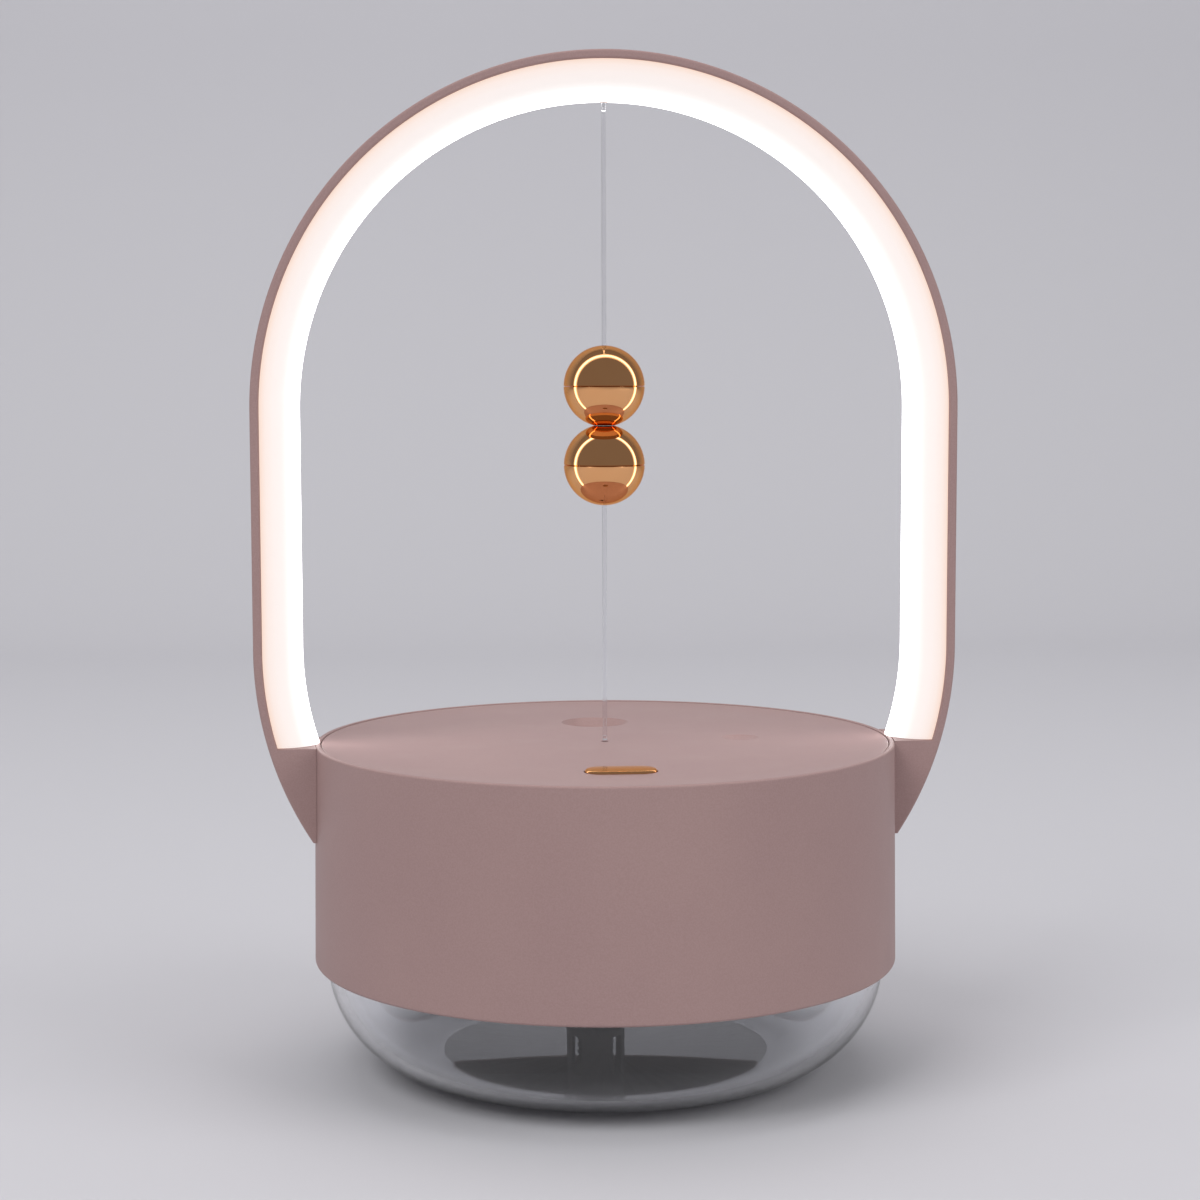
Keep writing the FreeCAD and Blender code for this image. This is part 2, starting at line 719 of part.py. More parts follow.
def make_hoop_diffuser():
    """Hollow milky dome section lining the hoop, with the string's hole at the crown."""
    half = hoop_depth / 2 - diffuser_inset
    base = hoop_bore - touch_gap
    outer = hoop_profile_dome(base, diffuser_reach - touch_gap, half)
    inner = hoop_profile_dome(base + touch_gap, diffuser_reach - diffuser_wall, half - diffuser_wall)
    section = outer.cut(inner).Faces[0]
    solid = sweep_hoop(section, diffuser_end_z)
    return solid.cut(cyl(string_hole, crown_z - over, crown_inner_z + over))


def make_hoop_screws():
    """Screws that pass the drum wall from inside; each head meets the wall at its far edge."""
    screws = []
    far_y = foot_screw_spread + screw_head
    seat = math.sqrt(drum_inside(hoop_screw_z + screw_head) ** 2 - far_y ** 2) - touch_gap
    for side in (-1, 1):
        for y in (-foot_screw_spread, foot_screw_spread):
            length = foot_pilot_end() - pilot_spare - seat
            screws.append(screw(Vec(side * seat, y, hoop_screw_z), X_AXIS * side, length))
    return screws


def strip_start():
    """How far the light strips' upper ends stay from the crown's middle."""
    return case_length / 2 + strip_end_gap


def make_led_strip():
    """Two flexible strips on the hoop's inner face, from the crown switch down to the feet."""
    outer = hoop_bore - touch_gap
    profile = Part.makePlane(strip_thickness, strip_width,
                             Vec(outer - strip_thickness, -strip_width / 2, 0), Z_AXIS)
    loop = sweep_hoop(profile, ledge_z)
    top = high_centre_z + hoop_radius
    gap = box(-strip_start(), strip_start(), -strip_width, strip_width, high_centre_z, top)
    return loop.cut(gap).Solids


def hoop_station(distance, radius):
    """Point on the right half of the hoop and the inward direction's angle, by distance from the crown."""
    quarter = radius * math.pi / 2
    side = high_centre_z - low_centre_z
    if distance < quarter:
        angle = math.pi / 2 - distance / radius
        return radius * math.cos(angle), high_centre_z + radius * math.sin(angle), angle
    if distance < quarter + side:
        return radius, high_centre_z - (distance - quarter), 0.0
    angle = -(distance - quarter - side) / radius
    return radius * math.cos(angle), low_centre_z + radius * math.sin(angle), angle


def make_led_chips():
    """Small light sources spaced evenly along both strips."""
    chips = []
    radius = hoop_bore - 2 * touch_gap - strip_thickness
    drop = math.asin((low_centre_z - ledge_z) / radius) * radius
    total = radius * math.pi / 2 + high_centre_z - low_centre_z + drop
    first = strip_start() + led_length
    count = int((total - first - led_length) / led_pitch) + 1
    for index in range(count):
        x, z, angle = hoop_station(first + index * led_pitch, radius)
        chip = box(-led_height, 0, -led_width / 2, led_width / 2, -led_length / 2, led_length / 2)
        chip.rotate(Vec(0, 0, 0), Y_AXIS, -math.degrees(angle))
        chip.translate(Vec(x, 0, z))
        chips.append(chip)
        chips.append(chip.mirror(Vec(0, 0, 0), X_AXIS))
    return chips


# Pull switch in the crown

def flange_low():
    """Underside of the plunger's flange while the balls pull it down on the contacts."""
    return contact_top() + touch_gap


def dome_drop(offset):
    """How far the diffuser's inner face lies above its crown at an offset along Y."""
    half = hoop_depth / 2 - diffuser_inset - diffuser_wall
    return (diffuser_reach - diffuser_wall) * (1 - math.sqrt(1 - (offset / half) ** 2))


def bush_low():
    return crown_inner_z + dome_drop(string_hole + bush_flange) + touch_gap


def case_bottom():
    return bush_low() + bush_thickness + touch_gap


def cavity_bottom():
    return case_bottom() + case_floor


def contact_top():
    return cavity_bottom() + contact_rise


def lid_bottom():
    """Underside of the case's lid, above the plunger's flange at the top of its travel."""
    return flange_low() + flange_height + switch_travel + run_gap


def crown_block(low, high):
    """Block across the crown between two heights, trimmed to fit inside the hoop and its diffuser."""
    block = box(-case_length / 2, case_length / 2, -case_width / 2, case_width / 2, low, high)
    half = hoop_depth / 2 - diffuser_inset - diffuser_wall
    room = hoop_profile_dome(hoop_bore - touch_gap, diffuser_reach - diffuser_wall - 2 * touch_gap, half)
    room.translate(Vec(0, 0, high_centre_z))
    return block.common(room.revolve(Vec(0, 0, high_centre_z), Y_AXIS, -180))


def make_switch_lid():
    return crown_block(lid_bottom(), crown_z + diffuser_reach)


def make_switch_case():
    """Small case in the crown with the plunger's cavity and contact slots."""
    case = crown_block(case_bottom(), lid_bottom())
    case = case.cut(cyl(cavity_radius, cavity_bottom(), lid_bottom() + over))
    case = case.cut(cyl(plunger_radius + touch_gap, case_bottom() - over, cavity_bottom() + over))
    slot_half = contact_width / 2 + touch_gap
    slots = box(-case_length, case_length, -slot_half, slot_half,
                contact_top() - contact_thickness - touch_gap, contact_top() + touch_gap)
    return case.cut(slots)


def make_switch_contacts():
    """Two blades under the flange, each running out of the case's end."""
    blades = []
    low = contact_top() - contact_thickness
    for side in (-1, 1):
        x0, x1 = sorted((side * contact_reach, side * (case_length / 2 + contact_tail)))
        blades.append(box(x0, x1, -contact_width / 2, contact_width / 2, low, contact_top()))
    return blades


def make_switch_spring():
    radius = (contact_reach + plunger_radius) / 2
    return coil(radius, switch_spring_wire / 2, cavity_bottom() + touch_gap, flange_low() - touch_gap,
                switch_spring_turns)


def make_string_bush():
    """Plastic eyelet inside the crown that guides the string over the diffuser's hole."""
    bush = cyl(string_hole + bush_flange, bush_low(), bush_low() + bush_thickness)
    return bush.cut(cyl(string_hole, crown_z, case_bottom()))


def make_pull_plunger():
    """Flanged stem that the upper string pulls down against its spring."""
    stem_low = case_bottom() + touch_gap
    stem = cyl(plunger_radius, stem_low, flange_low() + flange_height)
    return stem.fuse(cyl(flange_radius, flange_low(), flange_low() + flange_height)).removeSplitter()


def make_upper_tail():
    """The upper string's end from the plunger down through the crown to its bend."""
    return cyl(string_radius, upper_pivot_z + knot_radius + touch_gap, case_bottom())


def make_upper_knot():
    return Part.makeSphere(knot_radius, Vec(0, 0, upper_pivot_z))


def make_upper_string():
    return cyl(string_radius, crimp_far(upper_ball_z, 1), upper_pivot_z - knot_radius - touch_gap)


def make_lower_knot():
    """Round knot in the tray hole's mouth with the string's end below it, down through its stop."""
    knot = Part.makeSphere(knot_radius, Vec(0, 0, lower_pivot_z))
    end = cyl(string_radius, tray_under - run_gap - 2 * crimp_radius, lower_pivot_z)
    return knot.fuse(end).removeSplitter()


def make_lower_anchor():
    """Bead under the tray that holds the lower string down."""
    middle = tray_under - run_gap - crimp_radius
    bead = Part.makeSphere(crimp_radius, Vec(0, 0, middle))
    return bead.cut(cyl(string_radius + touch_gap / 2, middle - crimp_radius, middle + crimp_radius))


def make_lower_string():
    return cyl(string_radius, lower_pivot_z + knot_radius + touch_gap, crimp_far(lower_ball_z, -1))


# Button

def make_button_cap():
    """Pill with a rounded top edge, a retaining flange under the tray and a stem to the switch."""
    top = tray_z + button_rise
    cap = pill(button_length, button_width, tray_under - touch_gap, top, -button_offset)
    rim = [e for e in cap.Edges if abs(e.BoundBox.ZMin - top) < 1e-6 and abs(e.BoundBox.ZMax - top) < 1e-6]
    cap = cap.makeFillet(button_round, rim)
    flange_top = tray_under - touch_gap
    flange_bottom = flange_top - button_flange
    cap = cap.fuse(pill(button_length + 2 * button_flange, button_width + 2 * button_flange,
                        flange_bottom, flange_top, -button_offset))
    return cap.fuse(cyl(button_stem_radius, tact_top(), flange_bottom, 0, -button_offset)).removeSplitter()


def tact_base():
    return board_z + board_thickness


def tact_top():
    return tact_base() + tact_height + tact_rise


def make_tact_switch():
    base = tact_base()
    half = tact_side / 2
    y = -button_offset
    body = box(-half, half, y - half, y + half, base, base + tact_height)
    body = body.makeChamfer(tact_corner, upright_edges(body))
    return body.cut(cyl(tact_plunger_radius + touch_gap, base + tact_floor, base + tact_height + over, 0, y))


def make_tact_plunger():
    low = tact_base() + tact_floor + button_travel + touch_gap
    return cyl(tact_plunger_radius, low, tact_top(), 0, -button_offset)


# Electronics

def rounded_board(x0, x1, y0, y1, low, holes):
    board = box(x0, x1, y0, y1, low, low + board_thickness)
    board = board.makeFillet(board_corner, upright_edges(board))
    for x, y in holes:
        board = board.cut(cyl(screw_hole, low - over, low + board_thickness + over, x, y))
    return board


def make_main_board():
    half = board_half_width
    return rounded_board(-half, half, board_front(), board_back, board_z, board_posts())


def board_block(x, y, length, width, height):
    top = board_z + board_thickness
    return box(x - length / 2, x + length / 2, y - width / 2, y + width / 2, top, top + height)


def make_board_parts():
    """Inductor, capacitors, driver chips and sockets soldered on the main board."""
    top = board_z + board_thickness
    side_x = board_half_width - 3 * board_inset
    middle_y = (board_front() + board_back) / 2
    front_y = board_front() + 3 * board_inset
    back_y = board_back - board_inset - socket_width / 2
    parts = [
        cyl(inductor_radius, top, top + inductor_height, -side_x, middle_y),
        board_block(0, middle_y, chip_side, chip_side, chip_thickness),
        board_block(-side_x, front_y, chip_side, chip_side, chip_thickness),
        board_block(side_x, front_y, socket_width, socket_length, socket_height),
        board_block(0, back_y, socket_length, socket_width, socket_height),
    ]
    for row in (0, 1):
        y = middle_y + row * capacitor_pitch
        parts.append(cyl(capacitor_radius, top, top + capacitor_height, side_x, y))
    return parts


def make_board_screws():
    seat = board_z + board_thickness
    return [screw(Vec(x, y, seat), Z_AXIS * -1, board_thickness + board_screw_bite) for x, y in board_posts()]


def make_inlet_board():
    half = inlet_board_width / 2
    back = inlet_board_back()
    return rounded_board(-half, half, back - inlet_board_depth, back, inlet_board_z, inlet_posts())


def make_power_inlet():
    """Metal-shelled socket whose mouth reaches into the slot in the drum wall."""
    face = inlet_face_y()
    shell = pill(inlet_width, inlet_height, 0, inlet_depth)
    shell = shell.cut(pill(inlet_width - 2 * inlet_wall, inlet_height - 2 * inlet_wall, inlet_back,
                           inlet_depth + over))
    tongue = box(-tongue_width / 2, tongue_width / 2, -tongue_thickness / 2, tongue_thickness / 2,
                 inlet_back / 2, inlet_depth - tongue_recess)
    shell = shell.fuse(tongue).removeSplitter()
    shell.rotate(Vec(0, 0, 0), X_AXIS, -90)
    shell.translate(Vec(0, face - inlet_depth, inlet_middle_z()))
    return shell


def make_inlet_screws():
    seat = inlet_board_z + board_thickness
    return [screw(Vec(x, y, seat), Z_AXIS * -1, board_thickness + inlet_screw_bite) for x, y in inlet_posts()]


# Mist maker and wick

def make_piezo_disc():
    """Thin metal disc with a slight dome in its middle."""
    disc = cyl(piezo_radius, piezo_z, piezo_z + piezo_thickness, 0, mist_offset)
    dome_top = piezo_z + piezo_thickness + piezo_dome_height
    dome = Part.makeSphere(piezo_dome_radius, Vec(0, mist_offset, dome_top - piezo_dome_radius))
    cap = dome.common(cyl(piezo_radius, piezo_z + piezo_thickness / 2, dome_top + over, 0, mist_offset))
    return disc.fuse(cap).removeSplitter()


def make_piezo_seal():
    """Silicone ring with a groove that grips the disc."""
    groove = piezo_radius + touch_gap
    low = piezo_z - touch_gap
    high = piezo_z + piezo_thickness + touch_gap
    top = seal_bottom + seal_height
    return spin([(seal_bore, seal_bottom), (seal_radius, seal_bottom), (seal_radius, top), (seal_bore, top),
                 (seal_bore, high), (groove, high), (groove, low), (seal_bore, low)], 0, mist_offset)


def make_piezo_retainer():
    """Plate that clamps the seal from below, with an ear at each side for its screw."""
    top = seal_bottom - touch_gap
    low = top - retainer_thickness
    plate = cyl(seal_radius + seat_wall, low, top, 0, mist_offset)
    for side in (-1, 1):
        x = side * retainer_screw_offset
        plate = plate.fuse(cyl(retainer_boss_radius, low, top, x, mist_offset))
        x0, x1 = sorted((0, x))
        half = retainer_ear_width / 2
        plate = plate.fuse(box(x0, x1, mist_offset - half, mist_offset + half, low, top))
    plate = plate.removeSplitter().cut(cyl(retainer_bore, low - over, top + over, 0, mist_offset))
    for side in (-1, 1):
        x = side * retainer_screw_offset
        plate = plate.cut(cyl(screw_hole, low - over, top + over, x, mist_offset))
    return plate


def make_retainer_screws():
    places = [(side * retainer_screw_offset, mist_offset) for side in (-1, 1)]
    return [screw(Vec(x, y, retainer_z), Z_AXIS, retainer_thickness + retainer_screw_bite) for x, y in places]


def make_wick_tube():
    """Round tube with a closed foot and water slots, flanged where it rests on the collar."""
    top = cover_top + wick_collar_height + touch_gap
    bore = wick_tube_radius - wick_tube_wall
    flange = wick_tube_radius + wick_collar_wall
    tube = spin([
        (0, wick_tube_bottom), (wick_tube_radius - wick_tube_chamfer, wick_tube_bottom),
        (wick_tube_radius, wick_tube_bottom + wick_tube_chamfer), (wick_tube_radius, top), (flange, top),
        (flange, top + wick_flange_thickness), (bore, top + wick_flange_thickness),
        (bore, wick_tube_bottom + wick_tube_wall), (0, wick_tube_bottom + wick_tube_wall),
    ], 0, mist_offset)
    low = wick_tube_bottom + wick_slot_rise
    half = wick_slot_width / 2
    reach = wick_tube_radius + over
    for angle in (45, 135):
        slot = box(-reach, reach, -half, half, low, low + wick_slot_height)
        slot.rotate(Vec(0, 0, 0), Z_AXIS, angle)
        slot.translate(Vec(0, mist_offset, 0))
        tube = tube.cut(slot)
    return tube


def make_cotton_wick():
    """Fibre rod from the spring up to the disc, with softened ends."""
    top = piezo_z - touch_gap
    rod = cyl(wick_radius, wick_bottom, top, 0, mist_offset)
    ends = [e for e in rod.Edges if e.BoundBox.ZLength < 1e-6]
    return rod.makeFillet(wick_end_round, ends)


def make_wick_spring():
    low = wick_tube_bottom + wick_tube_wall + touch_gap
    return coil(wick_radius - wick_spring_inset, wick_spring_wire, low, wick_bottom - touch_gap,
                wick_spring_turns, 0, mist_offset)


pieces = {
    "tank_bowl": make_tank_bowl,
    "body_shell": make_body_shell,
    "top_tray": make_top_tray,
    "under_cover": make_under_cover,
    "tank_seal": make_tank_seal,
    "cover_screws": make_cover_screws,
    "tray_screws": make_tray_screws,
    "hoop_frame": make_hoop_frame,
    "hoop_diffuser": make_hoop_diffuser,
    "hoop_screws": make_hoop_screws,
    "led_strip": make_led_strip,
    "led_chips": make_led_chips,
    "switch_case": make_switch_case,
    "switch_lid": make_switch_lid,
    "switch_contacts": make_switch_contacts,
    "switch_spring": make_switch_spring,
    "string_bush": make_string_bush,
    "main_board": make_main_board,
    "board_parts": make_board_parts,
    "board_screws": make_board_screws,
    "tact_switch": make_tact_switch,
    "inlet_board": make_inlet_board,
    "power_inlet": make_power_inlet,
    "inlet_screws": make_inlet_screws,
    "piezo_disc": make_piezo_disc,
    "piezo_seal": make_piezo_seal,
    "piezo_retainer": make_piezo_retainer,
    "retainer_screws": make_retainer_screws,
    "wick_tube": make_wick_tube,
    "cotton_wick": make_cotton_wick,
    "wick_spring": make_wick_spring,
    "button_cap": make_button_cap,
    "tact_plunger": make_tact_plunger,
    "pull_plunger": make_pull_plunger,
    "upper_tail": make_upper_tail,
    "upper_knot": make_upper_knot,
    "upper_string": make_upper_string,
    "upper_ball_top": lambda: ball_half(upper_ball_z, True, True),
    "upper_ball_bottom": lambda: ball_half(upper_ball_z, False, False),
    "upper_magnet": lambda: ball_magnet(upper_ball_z, -1),
    "upper_crimp": lambda: ball_crimp(upper_ball_z, 1),
    "lower_knot": make_lower_knot,
    "lower_anchor": make_lower_anchor,
    "lower_string": make_lower_string,
    "lower_ball_top": lambda: ball_half(lower_ball_z, True, False),
    "lower_ball_bottom": lambda: ball_half(lower_ball_z, False, True),
    "lower_magnet": lambda: ball_magnet(lower_ball_z, 1),
    "lower_crimp": lambda: ball_crimp(lower_ball_z, -1),
}


def write_piece(name, made):
    """Writes one piece, or a group of like pieces, as a STEP file."""
    shape = Part.makeCompound(made) if isinstance(made, list) else made
    shape.exportStep("parts/" + name + ".step")
    state = "valid" if shape.isValid() else "not valid"
    print(name, len(shape.Solids), "solids", round(shape.Volume, 2), "mm3", state)


os.makedirs("parts", exist_ok=True)
for piece_name, make_piece in pieces.items():
    write_piece(piece_name, make_piece())
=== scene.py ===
import json
import math

import bmesh
import bpy
import numpy as np
from mathutils import Matrix, Vector


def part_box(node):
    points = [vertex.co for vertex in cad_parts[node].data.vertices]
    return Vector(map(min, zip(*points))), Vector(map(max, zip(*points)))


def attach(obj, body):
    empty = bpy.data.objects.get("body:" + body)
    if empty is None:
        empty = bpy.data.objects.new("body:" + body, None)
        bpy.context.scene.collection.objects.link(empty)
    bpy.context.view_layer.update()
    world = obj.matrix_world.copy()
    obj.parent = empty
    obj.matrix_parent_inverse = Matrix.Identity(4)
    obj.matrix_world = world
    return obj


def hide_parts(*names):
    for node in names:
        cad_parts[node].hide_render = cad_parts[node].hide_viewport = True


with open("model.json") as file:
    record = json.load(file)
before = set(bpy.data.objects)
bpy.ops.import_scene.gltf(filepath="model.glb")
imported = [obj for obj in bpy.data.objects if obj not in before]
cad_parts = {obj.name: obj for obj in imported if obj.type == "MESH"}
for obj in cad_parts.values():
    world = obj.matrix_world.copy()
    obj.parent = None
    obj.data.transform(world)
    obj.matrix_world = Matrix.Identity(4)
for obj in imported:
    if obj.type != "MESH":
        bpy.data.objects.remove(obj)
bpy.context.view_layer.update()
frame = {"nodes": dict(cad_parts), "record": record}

mm = 0.001
print("frame loaded,", len(frame["nodes"]), "nodes")


def rgb(red, green, blue):
    # colour as read off a screen, 0 to 255, turned into linear light
    values = []
    for part in (red, green, blue):
        share = part / 255
        values.append(share / 12.92 if share <= 0.04045 else ((share + 0.055) / 1.055) ** 2.4)
    return (*values, 1.0)


class Wire:
    # an output socket; arithmetic on it adds Math nodes to its tree
    def __init__(self, finish, socket):
        self.finish = finish
        self.socket = socket

    def combine(self, operation, first, second):
        return self.finish.add("ShaderNodeMath", {"operation": operation}, {0: first, 1: second})

    def __add__(self, other):
        return self.combine("ADD", self, other)

    def __radd__(self, other):
        return self.combine("ADD", other, self)

    def __sub__(self, other):
        return self.combine("SUBTRACT", self, other)

    def __rsub__(self, other):
        return self.combine("SUBTRACT", other, self)

    def __mul__(self, other):
        return self.combine("MULTIPLY", self, other)

    def __rmul__(self, other):
        return self.combine("MULTIPLY", other, self)


class Finish:
    # one material round a Principled shader, whose fixed values are set on its own sockets
    def __init__(self, name, fixed):
        self.material = bpy.data.materials.new(name)
        self.material.use_nodes = True
        self.tree = self.material.node_tree
        self.shader = self.tree.nodes["Principled BSDF"]
        for socket, value in fixed.items():
            self.shader.inputs[socket].default_value = value

    def add(self, kind, settings=None, values=None, output=0):
        # settings first, then the values or links of the sockets
        node = self.tree.nodes.new(kind)
        for key, value in (settings or {}).items():
            if key == "stops":
                self.setStops(node.color_ramp.elements, value)
            else:
                setattr(node, key, value)
        for key, value in (values or {}).items():
            if isinstance(value, Wire):
                self.tree.links.new(value.socket, node.inputs[key])
            else:
                node.inputs[key].default_value = value
        return Wire(self, node.outputs[output])

    def setStops(self, elements, stops):
        # a new ramp has two stops; the others are added between them
        for place, _ in stops[1:-1]:
            elements.new(place)
        for element, (place, colour) in zip(elements, stops):
            element.position = place
            element.color = colour

    def feed(self, socket, wire):
        self.tree.links.new(wire.socket, self.shader.inputs[socket])

    def place(self, stretch=None):
        # the piece's own coordinates, scaled where a pattern is finer along one axis
        place = self.add("ShaderNodeTexCoord", output="Object")
        return self.add("ShaderNodeMapping", {}, {"Vector": place, "Scale": stretch}) if stretch else place

    def noise(self, scale, detail=2.0, roughness=0.5, stretch=None):
        values = {"Vector": self.place(stretch), "Scale": scale, "Detail": detail, "Roughness": roughness}
        return self.add("ShaderNodeTexNoise", {}, values)

    def mask(self, value, low, high):
        # 0 up to the low value, 1 from the high value on, and even between them
        return self.add("ShaderNodeMapRange", {}, {"Value": value, "From Min": low, "From Max": high})

    def waver(self, middle, noise, swing):
        # a value that goes up and down round its middle as the noise does round a half
        return middle + (noise - 0.5) * swing

    def blend(self, factor, first, second):
        # colours mixed by a factor; sockets 6 and 7 are the two colours, and output 2 is the colour result
        return self.add("ShaderNodeMix", {"data_type": "RGBA"}, {0: factor, 6: first, 7: second}, output=2)

    def bump(self, height, strength, depth):
        values = {"Height": height, "Strength": strength, "Distance": depth}
        self.feed("Normal", self.add("ShaderNodeBump", {}, values))


# Finishes

def mouldedPlastic(name, look):
    # satin moulding: a fine spark-eroded grain, a slow drift of colour, and faint handling marks in the gloss
    finish = Finish(name, {"IOR": 1.5, "Specular IOR Level": look["sheen"]})
    grain = finish.noise(look["grainScale"], detail=3.0, roughness=0.6)
    drift = finish.noise(look["driftScale"], detail=3.0, roughness=0.55)
    marks = finish.noise(look["markScale"], detail=4.0, roughness=0.65)
    base = finish.blend(finish.mask(drift, low=0.35, high=0.65), look["shade"], look["tint"])
    specks = finish.mask(grain, low=0.38, high=0.62) * look["speckle"]
    finish.feed("Base Color", finish.blend(specks, base, look["light"]))
    rubbed = finish.mask(marks, low=0.45, high=0.7) * look["rubbed"]
    finish.feed("Roughness", finish.waver(look["rough"], grain, swing=0.12) - rubbed)
    finish.bump(grain, look["bump"], depth=0.05 * mm)
    return finish.material


pinkLook = {
    "tint": rgb(164, 135, 132),
    "shade": rgb(160, 131, 129),
    "light": rgb(186, 158, 155),
    "speckle": 0.22,
    "grainScale": 3200.0,
    "driftScale": 26.0,
    "markScale": 70.0,
    "rough": 0.52,
    "rubbed": 0.03,
    "sheen": 0.45,
    "bump": 0.22,
}
coverLook = {
    **pinkLook,
    "tint": rgb(176, 170, 168),
    "shade": rgb(168, 163, 162),
    "light": rgb(192, 188, 186),
    "speckle": 0.15,
}


def plainMetal(name, look):
    # rolled or turned metal: a fine grain, brushed lines where it is stretched, and a slow change of gloss
    finish = Finish(name, {"Metallic": 1.0})
    lines = finish.noise(look["lineScale"], detail=3.0, roughness=0.6, stretch=look["stretch"])
    tone = finish.mask(lines, low=0.3, high=0.7)
    finish.feed("Base Color", finish.blend(tone, look["dark"], look["bright"]))
    finish.feed("Roughness", finish.waver(look["rough"], finish.noise(look["driftScale"]), swing=0.15))
    finish.bump(lines, strength=0.1, depth=0.02 * mm)
    return finish.material


def roseGold(name, look):
    # plated and polished: the gloss varies a little with fine wipe marks, the colour with the plating's depth
    finish = Finish(name, {"Metallic": 1.0, "Specular Tint": look["edge"]})
    drift = finish.noise(look["driftScale"])
    finish.feed("Base Color", finish.blend(drift, look["deep"], look["pale"]))
    streaks = finish.noise(look["wipeScale"], detail=4.0, roughness=0.7, stretch=look["stretch"])
    wipe = finish.mask(streaks, low=0.5, high=0.75)
    finish.feed("Roughness", look["rough"] + wipe * look["wiped"])
    return finish.material


def clearPlastic(name, look):
    # moulded clear plastic: a trace of tint, and a gloss with faint wipe marks
    finish = Finish(name, {"Transmission Weight": 1.0, "IOR": look["ior"], "Base Color": look["tint"]})
    streaks = finish.noise(look["wipeScale"], detail=4.0, roughness=0.7)
    wipe = finish.mask(streaks, low=0.5, high=0.8)
    finish.feed("Roughness", look["rough"] + wipe * look["wiped"])
    return finish.material


def softMatte(name, look):
    # rubber, cotton, circuit board or a dull case: two tones in a fine noise, with a bump of the same grain
    finish = Finish(name, {})
    grain = finish.noise(look["grainScale"], detail=4.0, roughness=0.6)
    tone = finish.mask(grain, low=0.3, high=0.7)
    finish.feed("Base Color", finish.blend(tone, look["dark"], look["bright"]))
    finish.feed("Roughness", finish.waver(look["rough"], grain, swing=0.2))
    finish.bump(grain, look["bump"], depth=0.1 * mm)
    return finish.material


def glowingAcrylic(name, look):
    # milky light pipe, brightest at its crest: the attribute across is 0 at the section's edges and 1 there
    finish = Finish(name, {"Base Color": look["body"], "IOR": 1.49, "Emission Strength": look["strength"]})
    finish.feed("Roughness", finish.waver(look["rough"], finish.noise(look["grainScale"]), swing=0.1))
    across = finish.add("ShaderNodeAttribute", {"attribute_name": "across"}, output="Fac")
    glow = finish.add("ShaderNodeValToRGB", {"stops": look["glow"]}, {"Fac": across})
    finish.feed("Emission Color", glow)
    return finish.material


